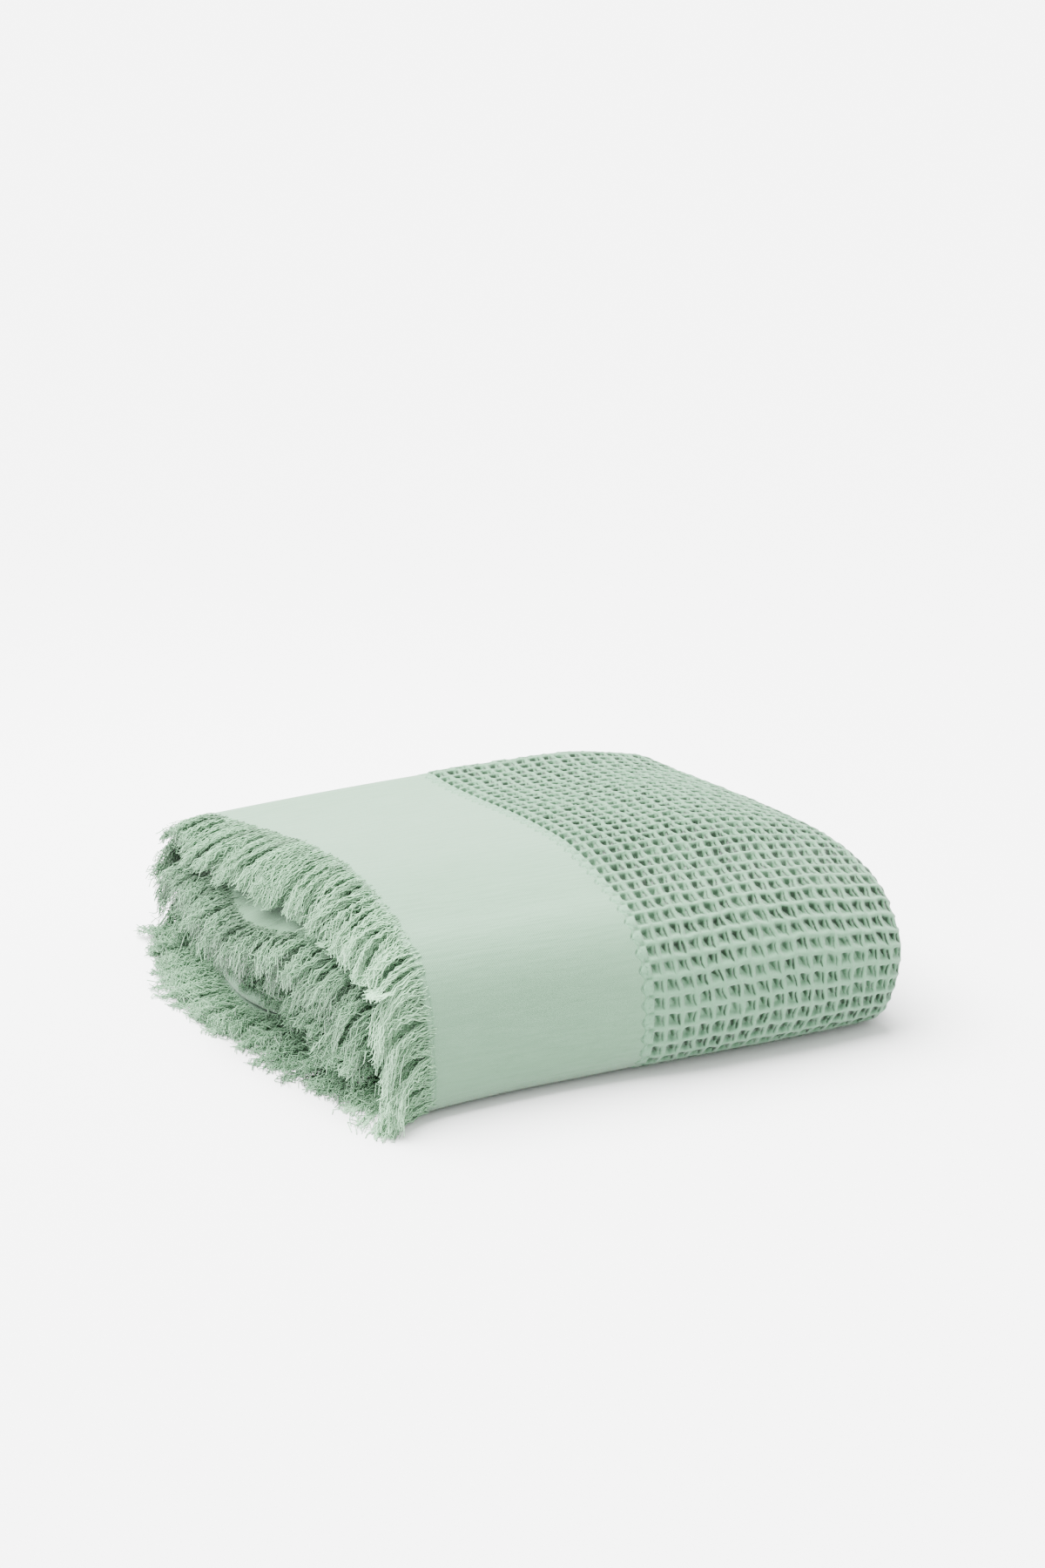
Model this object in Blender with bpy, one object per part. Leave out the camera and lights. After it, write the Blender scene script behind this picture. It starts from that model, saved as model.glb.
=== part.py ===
"""A waffle weave cotton blanket, folded, with a fringe along its two short ends.

The cloth goes back and forth along its length in four layers, halved twice, with both fringed ends together
at -X. That stack is then turned over itself in five passes across its width, like a flat spiral, with a big
round front turn at -Y. One back-and-forth section of the layers is swept along the turns, and the whole is then
let settle: higher behind the front turn, lower at the back and at the folded end.
"""

import math

import bmesh
import bpy
import numpy as np

MM = 0.001

# The cloth and how its layers lie, in millimetres
CLOTH_THICK = 3.0
LAYER_PITCH = 4.6
PASS_PITCH = 20.6
LAYERS = 4
STACK_THICK = (LAYERS - 1) * LAYER_PITCH + CLOTH_THICK
SECTION_LENGTH = 310.0
RUN_SHARES = (0.0, 0.5, 0.78, 0.9, 1.0)
FOLD_PIECES = 5
WIDE_FOLD_PIECES = 8

# The turns across the width, from the free edge at the back of the bottom pass to the one inside: where each
# turn's corner lies, its radius, and how far the stack reaches to its fringed and folded ends there. droop is
# how far the tips of the fringe sink below their roots, and lean how far they lie to the front.
TURN_COLUMNS = ("name", "y", "level", "radius", "fringed", "folded", "droop", "lean")
TURNS = (
    ("bottom_free_edge", 296.0, 0, 0.0, -172.0, 147.0, 0.0, 0.0),
    ("bottom_back", 230.0, 0, 0.0, -180.0, 148.0, 0.0, 0.0),
    ("bottom_middle", 166.0, 0, 0.0, -184.0, 148.0, 0.0, 0.0),
    ("bottom_front", 90.0, 0, 0.0, -164.0, 148.0, 0.0, 4.0),
    ("front_low", -10.6, 0, 13.0, -147.0, 149.0, 4.0, 8.0),
    ("front_top", -10.6, 4, 34.0, -146.0, 156.0, 11.0, 5.0),
    ("top_front", 62.0, 4, 0.0, -144.0, 154.0, 11.0, 2.0),
    ("top_middle", 150.0, 4, 0.0, -143.0, 150.0, 11.0, 0.0),
    ("top_back", 236.0, 4, 0.0, -149.0, 148.0, 11.0, 0.0),
    ("back_top", 302.0, 4, 24.0, -157.0, 149.0, 10.0, 0.0),
    ("back_low", 302.0, 1, 20.0, -158.0, 155.0, 5.0, 0.0),
    ("second_middle", 160.0, 1, 0.0, -166.0, 158.0, 1.5, 0.0),
    ("inner_front_low", 12.0, 1, 12.0, -156.0, 156.0, 3.0, 0.0),
    ("inner_front_top", 12.0, 3, 20.0, -156.0, 155.0, 9.0, 0.0),
    ("fourth_front", 84.0, 3, 0.0, -173.0, 156.0, 11.0, 0.0),
    ("fourth_middle", 136.0, 3, 0.0, -188.0, 157.0, 11.0, 0.0),
    ("fourth_back", 210.0, 3, 0.0, -175.0, 157.0, 11.0, 0.0),
    ("inner_back_top", 278.0, 3, 10.3, -163.0, 156.0, 8.0, 0.0),
    ("inner_back_low", 278.0, 2, 10.3, -160.0, 157.0, 3.0, 0.0),
    ("inner_free_edge", 36.0, 2, 0.0, -158.0, 158.0, 1.5, 0.0),
)
RUN_STEP = 66.0
ARC_STEP = 22.5
FINE_RUN = 4.0
FINE_ARC = 3.0
SAME_PLACE = 0.01

# How the stack settles: its height at each depth, as a share of the even height
CROWN_COLUMNS = ("y", "share")
CROWN = (
    (-30.0, 0.935),
    (0.0, 0.938),
    (20.0, 0.948),
    (49.0, 1.003),
    (85.0, 1.042),
    (122.0, 1.022),
    (160.0, 0.982),
    (207.0, 0.915),
    (257.0, 0.855),
    (312.0, 0.835),
)
END_START = 60.0
END_LENGTH = 95.0
END_DROP = 0.165
END_TUCK = 0.045
# The back corner by the fringe lies lower, and the front corner there spreads a little on the floor
BACK_FROM = 110.0
BACK_LENGTH = 200.0
BACK_CORNER_FROM = 40.0
BACK_CORNER_LENGTH = 190.0
BACK_CORNER_DROP = 0.075
SPREAD_FROM = -60.0
SPREAD_LENGTH = 90.0
SPREAD = 7.0
SPREAD_DEPTH = 70.0
SPREAD_HEIGHT = 80.0
DEPTH_MIDDLE = 146.0

# The fringe: a narrow strip just off the cloth's edge, with drooping locks. Each lock has two rings beyond
# its root: how far out they lie, and their sink, width and thickness, all as shares of the whole lock's.
LOCKS = 110
LOCK_SHARE = 0.72
EDGE_GAP = 0.6
STRIP_WIDE = 2.4
STRIP_THICK = 2.6
LOCK_REACH = 28.0
REACH_VARIES = 0.14
SIDE_VARIES = 1.0
LOCK_COLUMNS = ("along", "sunk", "wide", "thick")
LOCK_RINGS = (
    (0.5, 0.36, 0.86, 0.9),
    (1.0, 1.0, 0.52, 0.66),
)
LOCK_TURN = 2.4
SIDE_TURN = 1.7
FLOOR_SHARE = 0.8
SWAY_FROM = 4.0

# The origin is under the middle of the box that holds everything
ORIGIN_X = -31.7
ORIGIN_Y = 137.6

SAGE = (0.46, 0.56, 0.47)
FRINGE_SAGE = (0.42, 0.54, 0.43)
INNER_SAGE = (0.40, 0.52, 0.41)
COTTON_ROUGHNESS = 0.92


def clear_scene():
    for old in list(bpy.data.objects):
        bpy.data.objects.remove(old, do_unlink=True)


def column(rows, columns, name):
    place = columns.index(name)
    return np.array([row[place] for row in rows], dtype=float)


def through(known, values, wanted):
    """A smooth curve through the rows: on each stretch the cubic that keeps both rows' values and slopes."""
    slopes = np.gradient(values, known)
    place = np.clip(np.searchsorted(known, wanted) - 1, 0, len(known) - 2)
    length = known[place + 1] - known[place]
    t = np.clip((wanted - known[place]) / length, 0.0, 1.0)
    start = values[place] * (1 + 2 * t) * (1 - t) ** 2 + slopes[place] * length * t * (1 - t) ** 2
    end = values[place + 1] * t * t * (3 - 2 * t) + slopes[place + 1] * length * t * t * (t - 1)
    return start + end


def level_height(level):
    return STACK_THICK / 2 + level * PASS_PITCH


def turn_corners():
    depths = column(TURNS, TURN_COLUMNS, "y")
    return np.stack([depths, level_height(column(TURNS, TURN_COLUMNS, "level"))], axis=1)


def turn_path(run_step, arc_step):
    """The stack's middle line across the width: straight runs joined by round turns at the corners.

    Gives each station's place, outward normal and row number, which goes on smoothly between the rows."""
    corners = turn_corners()
    radii = column(TURNS, TURN_COLUMNS, "radius")
    along = np.diff(corners, axis=0)
    along = along / np.linalg.norm(along, axis=1)[:, None]
    stations = [(corners[0], left_of(along[0]), 0.0)]
    for i in range(1, len(corners) - 1):
        came, goes = along[i - 1], along[i]
        if radii[i] == 0.0:
            stations.append((corners[i], left_of(goes), float(i)))
            continue
        turn = math.atan2(came[0] * goes[1] - came[1] * goes[0], float(came @ goes))
        side = math.copysign(1.0, turn)
        start = corners[i] - came * radii[i] * math.tan(abs(turn) / 2)
        centre = start + side * radii[i] * left_of(came)
        pieces = max(2, round(math.degrees(abs(turn)) / arc_step))
        for k in range(pieces + 1):
            outward = turned(left_of(came), turn * k / pieces)
            stations.append((centre - side * radii[i] * outward, outward, i + 0.5 * (k / pieces - 0.5)))
    stations.append((corners[-1], left_of(along[-1]), float(len(corners) - 1)))
    return split_runs(stations, run_step)


def left_of(heading):
    return np.array([-heading[1], heading[0]])


def turned(arrow, angle):
    return arrow * math.cos(angle) + left_of(arrow) * math.sin(angle)


def split_runs(stations, run_step):
    """Cuts the long straight stretches into even pieces."""
    places = [stations[0][0]]
    outward = [stations[0][1]]
    rows = [stations[0][2]]
    for (a, _, row_a), (b, normal, row_b) in zip(stations[:-1], stations[1:]):
        length = float(np.linalg.norm(b - a))
        if length < SAME_PLACE:
            continue
        pieces = max(1, math.ceil(length / run_step))
        for k in range(1, pieces + 1):
            places.append(a + (b - a) * k / pieces)
            outward.append(normal)
            rows.append(row_a + (row_b - row_a) * k / pieces)
    return np.array(places), np.array(outward), np.array(rows)


def length_at(rows):
    """How far along the middle line each row number lies."""
    places, _, fine_rows = turn_path(FINE_RUN, FINE_ARC)
    steps = np.linalg.norm(np.diff(places, axis=0), axis=1)
    return np.interp(rows, fine_rows, np.concatenate([[0.0], np.cumsum(steps)]))


def station_values(name, rows):
    """A column of the turns' table at each station, smooth between its rows."""
    values = column(TURNS, TURN_COLUMNS, name)
    return through(length_at(np.arange(len(values))), values, length_at(rows))


def layer_height(layer):
    """How far a layer lies from the stack's middle: layer 0 is the outermost."""
    return STACK_THICK / 2 - CLOTH_THICK / 2 - layer * LAYER_PITCH


def fold_section():
    """The back-and-forth section: along the length, and across the stack, with the normal to the cloth.

    From the first fringed end on the outer face it goes to the folded end, round the whole stack and back,
    round a small fold and out again, and round the innermost fold back to the second fringed end."""
    half = CLOTH_THICK / 2
    small = LAYER_PITCH / 2
    wide = layer_height(0)
    near = small + half
    far = SECTION_LENGTH - wide - half
    last = LAYERS - 1
    runs = ((0.0, far, 0), (far, near, last), (near, far, last - 1), (far, 0.0, 1))
    folds = (
        (1.0, -1.0, wide, WIDE_FOLD_PIECES),
        (-1.0, 1.0, small, FOLD_PIECES),
        (1.0, 1.0, small, FOLD_PIECES),
    )
    points = []
    normals = []
    for (start, end, layer), fold in zip(runs, (*folds, None)):
        height = layer_height(layer)
        goes_out = math.copysign(1.0, end - start)
        shares = RUN_SHARES if goes_out > 0 else [1 - share for share in RUN_SHARES[::-1]]
        for share in shares:
            points.append((start + (end - start) * share, height))
            normals.append((0.0, goes_out))
        if fold is None:
            break
        side, upward, radius, pieces = fold
        for k in range(1, pieces):
            angle = math.pi * k / pieces
            rise = upward * radius * (1 - math.cos(angle))
            points.append((end + side * radius * math.sin(angle), height + rise))
            facing = -side * upward
            normals.append((facing * side * math.sin(angle), -facing * upward * math.cos(angle)))
    return np.array(points), np.array(normals)


def ramp(value, start, length, most=1.0):
    """Grows from 0 at the start, slowly at first, to 1 after the length."""
    return np.clip((value - start) / length, 0.0, most) ** 2


def settle(points):
    """Lets the even stack settle: heights by the crown, lower and drawn in towards the folded end, lower at
    the back corner by the fringe, and spread a little at the foot of the front corner there."""
    x = points[..., 0]
    y = points[..., 1]
    z = points[..., 2]
    crown = through(column(CROWN, CROWN_COLUMNS, "y"), column(CROWN, CROWN_COLUMNS, "share"), y)
    end = ramp(x, END_START, END_LENGTH, 1.2)
    corner = ramp(y, BACK_FROM, BACK_LENGTH) * ramp(-x, -BACK_CORNER_FROM, BACK_CORNER_LENGTH, 1.1)
    height = z * crown * (1 - END_DROP * end) * (1 - BACK_CORNER_DROP * corner)
    foot = ramp(-x, -SPREAD_FROM, SPREAD_LENGTH, 1.3) * ramp(-z, -SPREAD_HEIGHT, SPREAD_HEIGHT)
    spread = SPREAD * foot * ramp(-y, -SPREAD_DEPTH, SPREAD_DEPTH, 1.1)
    depth = DEPTH_MIDDLE + (y - DEPTH_MIDDLE) * (1 - END_TUCK * end) - spread
    return np.stack([x, depth, height], axis=-1)


def metres(points):
    return (settle(points) - np.array([ORIGIN_X, ORIGIN_Y, 0.0])) * MM


def tube_mesh(name, rings, closed_caps):
    """A solid whose sides join ring after ring. closed_caps lists the faces that close a ring, by its points.

    Every four-sided patch is cut the same way across its length, so that the layers keep their distance."""
    bm = bmesh.new()
    count = rings.shape[1]
    verts = [[bm.verts.new(tuple(point)) for point in ring] for ring in metres(rings)]
    for near, far in zip(verts[:-1], verts[1:]):
        for k in range(count):
            after = (k + 1) % count
            if near[after].co.x > near[k].co.x:
                bm.faces.new((near[k], near[after], far[after]))
                bm.faces.new((near[k], far[after], far[k]))
            else:
                bm.faces.new((near[k], near[after], far[k]))
                bm.faces.new((near[after], far[after], far[k]))
    for cap in closed_caps:
        bm.faces.new([verts[0][k] for k in reversed(cap)])
        bm.faces.new([verts[-1][k] for k in cap])
    bmesh.ops.recalc_face_normals(bm, faces=bm.faces)
    mesh = bpy.data.meshes.new(name)
    bm.to_mesh(mesh)
    bm.free()
    return mesh


def add_object(mesh, material, smooth_angle):
    mesh.materials.append(material)
    mesh.shade_smooth()
    mesh.set_sharp_from_angle(angle=math.radians(smooth_angle))
    thing = bpy.data.objects.new(mesh.name, mesh)
    bpy.context.scene.collection.objects.link(thing)
    return thing


def cotton(name, colour):
    material = bpy.data.materials.new(name)
    material.use_nodes = True
    shader = material.node_tree.nodes["Principled BSDF"]
    shader.inputs["Base Color"].default_value = (*colour, 1.0)
    shader.inputs["Roughness"].default_value = COTTON_ROUGHNESS
    shader.inputs["Metallic"].default_value = 0.0
    return material


def cloth_material():
    return cotton("sage_cotton", SAGE)


def outer_fringe_material():
    return cotton("outer_yarn", FRINGE_SAGE)


def inner_fringe_material():
    return cotton("inner_yarn", INNER_SAGE)


def blanket():
    """The folded cloth: the section of its layers swept along the turns."""
    places, outward, rows = turn_path(RUN_STEP, ARC_STEP)
    fringed = station_values("fringed", rows)
    folded = station_values("folded", rows)
    points, normals = fold_section()
    half = CLOTH_THICK / 2
    ring = np.concatenate([points + normals * half, (points - normals * half)[::-1]])
    along = ring[:, 0] / SECTION_LENGTH
    x = fringed[:, None] + along[None, :] * (folded - fringed)[:, None]
    across = places[:, None, :] + ring[None, :, 1, None] * outward[:, None, :]
    rings = np.concatenate([x[..., None], across], axis=2)
    count = len(points)
    caps = [(k, k + 1, 2 * count - 2 - k, 2 * count - 1 - k) for k in range(count - 1)]
    return add_object(tube_mesh("blanket", rings, caps), cloth_material(), 40.0)


def lock_stations():
    """Both edges of each lock along the turns: place, outward normal, edge of the cloth, sink and lean.

    The locks are even along the middle line. Near the floor they sink less, so that none passes it."""
    coarse_rows = turn_path(RUN_STEP, ARC_STEP)[2]
    places, outward, rows = turn_path(FINE_RUN, FINE_ARC)
    length = np.concatenate([[0.0], np.cumsum(np.linalg.norm(np.diff(places, axis=0), axis=1))])
    pitch = length[-1] / LOCKS
    starts = (np.arange(LOCKS) + (1 - LOCK_SHARE) / 2) * pitch
    wanted = np.stack([starts, starts + LOCK_SHARE * pitch], axis=1).ravel()
    at = np.stack([np.interp(wanted, length, places[:, k]) for k in range(2)], axis=1)
    normal = np.stack([np.interp(wanted, length, outward[:, k]) for k in range(2)], axis=1)
    normal = normal / np.linalg.norm(normal, axis=1)[:, None]
    row = np.interp(wanted, length, rows)
    edge = np.interp(length_at(row), length_at(coarse_rows), station_values("fringed", coarse_rows))
    droop = station_values("droop", row).reshape(LOCKS, 2).mean(axis=1)
    lean = station_values("lean", row).reshape(LOCKS, 2).mean(axis=1)
    lowest = (at + normal * STACK_THICK / 2)[:, 1].reshape(LOCKS, 2).min(axis=1)
    return at, normal, edge, np.minimum(droop, FLOOR_SHARE * lowest), lean


def fringe(name, layer, material):
    """The backing strip beside one fringed edge, and its locks, each three rings long."""
    at, normal, edge, sink, lean = lock_stations()
    outside = layer_height(layer) + CLOTH_THICK / 2
    bm = bmesh.new()

    def corner_points(x, centre, spread, offsets):
        return np.stack([np.array([x, *(centre + spread * offset)]) for offset in offsets])

    inside = outside - STRIP_THICK
    beside = edge - EDGE_GAP
    strip = np.array([
        np.concatenate([
            corner_points(beside[k], at[k], normal[k], (outside, inside)),
            corner_points(beside[k] - STRIP_WIDE, at[k], normal[k], (inside, outside)),
        ])
        for k in range(len(at))
    ])
    verts = [[bm.verts.new(tuple(point)) for point in ring] for ring in metres(strip)]
    for k in range(len(verts) - 1):
        near = verts[k]
        far = verts[k + 1]
        bm.faces.new((near[0], near[1], far[1], far[0]))
        bm.faces.new((near[1], near[2], far[2], far[1]))
        bm.faces.new((near[3], near[0], far[0], far[3]))
        if k % 2:
            bm.faces.new((near[2], near[3], far[3], far[2]))
    bm.faces.new(verts[0][::-1])
    bm.faces.new(verts[-1])
    for lock in range(LOCKS):
        add_lock(bm, verts, strip, at, (float(lean[lock]), float(sink[lock])), lock)
    bmesh.ops.recalc_face_normals(bm, faces=bm.faces)
    mesh = bpy.data.meshes.new(name)
    bm.to_mesh(mesh)
    bm.free()
    return add_object(mesh, material, 50.0)


def add_lock(bm, verts, strip, at, lean_and_sink, lock):
    """One lock: its rings slide outwards and down without turning, and narrow towards their outer middle."""
    lean, sink = lean_and_sink
    first = 2 * lock
    root = np.stack([strip[first][2], strip[first][3], strip[first + 1][3], strip[first + 1][2]])
    joined = [verts[first][2], verts[first][3], verts[first + 1][3], verts[first + 1][2]]
    reach = LOCK_REACH * (1 + REACH_VARIES * math.sin(LOCK_TURN * lock))
    side = at[first + 1] - at[first]
    side = side / np.linalg.norm(side)
    sway = SIDE_VARIES * math.sin(SIDE_TURN * lock) * min(1.0, sink / SWAY_FROM)
    middle = (root[1] + root[2]) / 2
    shares = [column(LOCK_RINGS, LOCK_COLUMNS, name) for name in LOCK_COLUMNS]
    for along, sunk, wide, thick in zip(*shares):
        ring = middle + (root - middle) * wide
        ring[0] = ring[1] + (root[0] - root[1]) * thick
        ring[3] = ring[2] + (root[3] - root[2]) * thick
        ring[:, 0] = root[:, 0] - reach * along
        ring[:, 1] += side[0] * sway * along - lean * sunk
        ring[:, 2] += side[1] * sway * along - sink * sunk
        fresh = [bm.verts.new(tuple(point)) for point in metres(ring)]
        for k in range(4):
            after = (k + 1) % 4
            bm.faces.new((joined[k], joined[after], fresh[after], fresh[k]))
        joined = fresh
    bm.faces.new(joined)


def main():
    clear_scene()
    blanket()
    fringe("fringe_outer", 0, outer_fringe_material())
    fringe("fringe_inner", 1, inner_fringe_material())


main()
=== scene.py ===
"""A folded waffle weave cotton blanket in pale sage, with a plain twill band and a thick yarn fringe.

Every surface is worked out as a function of two lengths on the cloth: how far it lies from the fringed edge,
and how far round the turns of the folded stack. Lengths in the tables and functions are in millimetres.
"""

import math

import bpy
import numpy as np
from mathutils import Matrix, Vector


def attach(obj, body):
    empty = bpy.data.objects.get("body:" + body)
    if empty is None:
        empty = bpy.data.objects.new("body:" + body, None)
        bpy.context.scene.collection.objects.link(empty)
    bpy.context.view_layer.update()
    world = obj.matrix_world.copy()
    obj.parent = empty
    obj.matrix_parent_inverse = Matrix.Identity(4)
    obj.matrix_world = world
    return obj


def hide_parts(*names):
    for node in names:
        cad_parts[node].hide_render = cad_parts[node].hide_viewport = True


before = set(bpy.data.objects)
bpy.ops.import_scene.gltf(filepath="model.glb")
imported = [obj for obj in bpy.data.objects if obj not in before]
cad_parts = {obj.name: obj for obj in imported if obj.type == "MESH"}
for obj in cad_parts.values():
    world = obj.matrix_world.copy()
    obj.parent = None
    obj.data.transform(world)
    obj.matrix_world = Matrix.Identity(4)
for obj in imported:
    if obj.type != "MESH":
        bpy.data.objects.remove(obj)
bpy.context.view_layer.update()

MM = 0.001

# The cloth and how its layers lie, as in the solids
CLOTH_THICK = 3.0
LAYER_PITCH = 4.6
PASS_PITCH = 20.6
LAYERS = 4
STACK_THICK = (LAYERS - 1) * LAYER_PITCH + CLOTH_THICK
SECTION_LENGTH = 310.0

# The turns across the width, from the free edge at the back of the bottom pass to the one inside: how far
# back each lies, its pass's level, the radius of its bend, and where the fringed and the folded end come to
# there. sag is how far the cloth's fringed edge sinks, hang how far the fringe sinks from there to its tips,
# reach how far out it goes, and lean how far it lies to the front.
TURN_COLUMNS = ("name", "y", "level", "radius", "fringed", "folded", "sag", "hang", "reach", "lean")
TURNS = (
    ("bottom_free_edge", 296.0, 0, 0.0, -171.0, 147.0, 0.0, 2.0, 22.0, 3.0),
    ("bottom_back", 212.0, 0, 0.0, -180.0, 148.0, 0.0, 2.0, 33.0, 3.0),
    ("bottom_middle", 160.0, 0, 0.0, -184.0, 148.0, 0.0, 3.0, 29.0, 4.0),
    ("bottom_front", 90.0, 0, 0.0, -160.0, 148.0, 0.0, 4.0, 37.0, 8.0),
    ("front_low", -10.6, 0, 13.0, -147.0, 146.0, 0.0, 9.0, 29.0, 8.0),
    ("front_top", -10.6, 4, 34.0, -146.0, 153.5, 0.0, 22.0, 25.0, 4.0),
    ("top_front", 62.0, 4, 0.0, -144.0, 154.0, 0.0, 22.0, 28.0, 2.0),
    ("top_middle", 145.0, 4, 0.0, -143.0, 150.0, 0.0, 19.0, 36.0, 3.0),
    ("top_back", 236.0, 4, 0.0, -149.0, 147.0, 0.0, 17.0, 33.0, 1.0),
    ("back_top", 302.0, 4, 24.0, -159.0, 141.0, 0.0, 9.0, 21.0, 0.0),
    ("back_low", 302.0, 1, 20.0, -160.0, 155.0, 0.0, 21.0, 21.0, 0.0),
    ("second_middle", 182.0, 1, 0.0, -166.0, 158.0, 0.0, 7.0, 16.0, 0.0),
    ("inner_front_low", 12.0, 1, 12.0, -156.0, 156.0, 0.0, 9.0, 26.0, 0.0),
    ("inner_front_top", 12.0, 3, 20.0, -156.0, 155.0, 3.0, 18.0, 26.0, 0.0),
    ("fourth_front", 84.0, 3, 0.0, -173.0, 156.0, 8.0, 15.0, 23.0, 2.0),
    ("fourth_middle", 136.0, 3, 0.0, -187.0, 157.0, 14.0, 13.0, 21.0, 2.0),
    ("fourth_back", 210.0, 3, 0.0, -175.0, 157.0, 8.0, 14.0, 24.0, 0.0),
    ("inner_back_top", 278.0, 3, 10.3, -163.0, 156.0, 3.0, 14.0, 25.0, 0.0),
    ("inner_back_low", 278.0, 2, 10.3, -160.0, 157.0, 2.0, 12.0, 25.0, 0.0),
    ("inner_free_edge", 36.0, 2, 0.0, -158.0, 158.0, 2.0, 12.0, 26.0, 0.0),
)
SAG_LENGTH = 70.0
RUN_STEP = 1.0
ARC_STEP = 1.0
SAME_PLACE = 0.01
NO_BEND = 1e-6
TINY = 1e-15

# How the stack settles, as in the solids: the share of its height that is left at each depth, and the ramps
# that let its corners down. A ramp is its start, its length, and the number of lengths after which it ends.
CROWN_COLUMNS = ("y", "share")
CROWN = (
    (-30.0, 0.935),
    (0.0, 0.938),
    (20.0, 0.948),
    (49.0, 1.003),
    (85.0, 1.042),
    (122.0, 1.022),
    (160.0, 0.982),
    (207.0, 0.915),
    (257.0, 0.855),
    (312.0, 0.835),
)
END_RAMP = (60.0, 95.0, 1.2)
END_DROP = 0.178
END_TUCK = 0.045
BACK_RAMP = (110.0, 200.0, 1.0)
BACK_CORNER_RAMP = (40.0, 190.0, 1.1)
BACK_CORNER_DROP = 0.075
SPREAD = 7.0
SPREAD_CORNER_RAMP = (-60.0, 90.0, 1.3)
SPREAD_LOW_RAMP = (80.0, 80.0, 1.0)
SPREAD_FRONT_RAMP = (70.0, 70.0, 1.1)
DEPTH_MIDDLE = 146.0
ORIGIN_X = -31.7
ORIGIN_Y = 137.6

# What the solids don't have: less drop at the front corner of the folded end, and under the waffle a front
# that bulges out over a tucked foot
CORNER_LESS_DROP = 0.32
CORNER_DEPTH = 28.0
CORNER_WIDE = 48.0
TUCK = 4.0
TUCK_LOW_RAMP = (50.0, 50.0, 1.0)
TUCK_FRONT_RAMP = (110.0, 110.0, 1.15)
UNDER_WAFFLE = (-70.0, 30.0)
BULGE = 6.0
BULGE_HEIGHT = 36.0
BULGE_WIDE = 30.0

# The waffle: cells along the length and round the turns, and how the relief stands on the cloth
CELL_LENGTH = 9.0
CELL_ROUND = 10.0
PIT_ASIDE = 0.6
FIRST_ROW_HEIGHT = 73.0
ROWS_COUNTED_AT = 60.0
FRONT_TURN_ROWS = (4.0, 5.5)
BAND_END = -17.2
SCALLOP = 1.3
STRAIGHT_COLUMNS_END = 120.0
RIDGE_STANDS = 0.7
PIT_DEPTH = 2.5
TOP_DEEPER = 0.45
TOP_DEEPER_FROM = (4.0, 9.0)
CORE_OUT = -1.3
LOWEST_PIT = -2.7
SOFT_PIT = 0.5

# One cell, in shares of a cell from its middle: p runs to the folded end, and q down the front. A pair says
# where a smooth step starts and ends. The cloth's colour shares the thread, the wedge's slant and the slit.
PIT_UP = 0.04
ROW_RIDGE = (0.17, 0.45)
ROW_CREST = 0.16
ROW_CREST_UNEVEN = 0.22
ROW_CREST_WIDE = 0.16
COLUMN_RIDGE = (0.19, 0.44)
COLUMN_CREST = 0.10
COLUMN_CREST_WIDE = 0.13
THREAD_AT = 0.23
THREAD_WIDE = 0.12
THREAD_END = (0.05, 0.35)
THREAD_STANDS = 0.6
WEDGE_SLANT = 0.62
WEDGE_LEFT = (-0.05, 0.08)
WEDGE_RIGHT = (0.08, 0.20)
WEDGE_TOP = (-0.38, -0.24)
WEDGE_FOOT = (0.05, 0.28)
WEDGE_DEEP = 0.45
SLIT_AT = 0.34
SLIT_WIDE = 0.09
SLIT_TALL = 0.44
SLIT_DEEP = 0.40
GROOVES_LEAST = 0.6
GROOVES_MORE = 0.6
GROOVES_END = 0.6
DEPTH_LEAST = 0.9
DEPTH_MORE = 0.2

# The first column, beside the scalloped line, is a row of puffs without pits
LINE_STEP = (-0.02, 0.16)
PUFFS_START = (0.0, 0.25)
PUFFS_END = (-1.34, -1.12)
PUFF_STANDS = 0.45
PUFF_SWELL = 0.35
PUFF_GAP_DEEP = 0.8
PUFF_GAP_WIDE = 0.13

# The slow waver of handled cloth, along the length and round the turns. A wave is how many cells it moves,
# its turns for each cell along and for each row, and its start in radians.
LENGTH_WAVES = (
    (0.13, 0.031, 0.087, 1.3),
    (0.07, -0.05, 0.23, 0.7),
    (0.04, 0.47, 0.61, 0.0),
    (0.03, -0.36, 0.83, 1.0),
)
ROUND_WAVES = (
    (0.05, 0.057, -0.02, 0.0),
    (0.04, 0.19, 0.11, 2.0),
    (0.04, 0.53, 0.29, 0.5),
    (0.03, 0.91, -0.37, 0.0),
)
WAVER_FROM = (-1.5, 1.5)

# The camera: its place and the way it looks, from the photograph's perspective
VIEW_AZIMUTH = -24.75
VIEW_ELEVATION = 19.47
VIEW_DISTANCE = 2222.2
VIEW_ASIDE = -72.6
VIEW_UP = 156.2
VIEW_FAR = 60.0
LENS = 90.8
SENSOR = 36.0


def column(rows, columns, name):
    place = columns.index(name)
    return np.array([row[place] for row in rows], dtype=float)


def through(known, values, wanted):
    """A smooth curve through the rows: on each stretch the cubic that keeps both rows' values and slopes."""
    slopes = np.gradient(values, known)
    place = np.clip(np.searchsorted(known, wanted) - 1, 0, len(known) - 2)
    length = known[place + 1] - known[place]
    t = np.clip((wanted - known[place]) / length, 0.0, 1.0)
    start = values[place] * (1 + 2 * t) * (1 - t) ** 2 + slopes[place] * length * t * (1 - t) ** 2
    end = values[place + 1] * t * t * (3 - 2 * t) + slopes[place + 1] * length * t * t * (t - 1)
    return start + end


def smooth_step(low, high, value):
    """0 below low, 1 above high, and a smooth rise between."""
    t = np.clip((value - low) / (high - low), 0.0, 1.0)
    return t * t * (3 - 2 * t)


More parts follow.
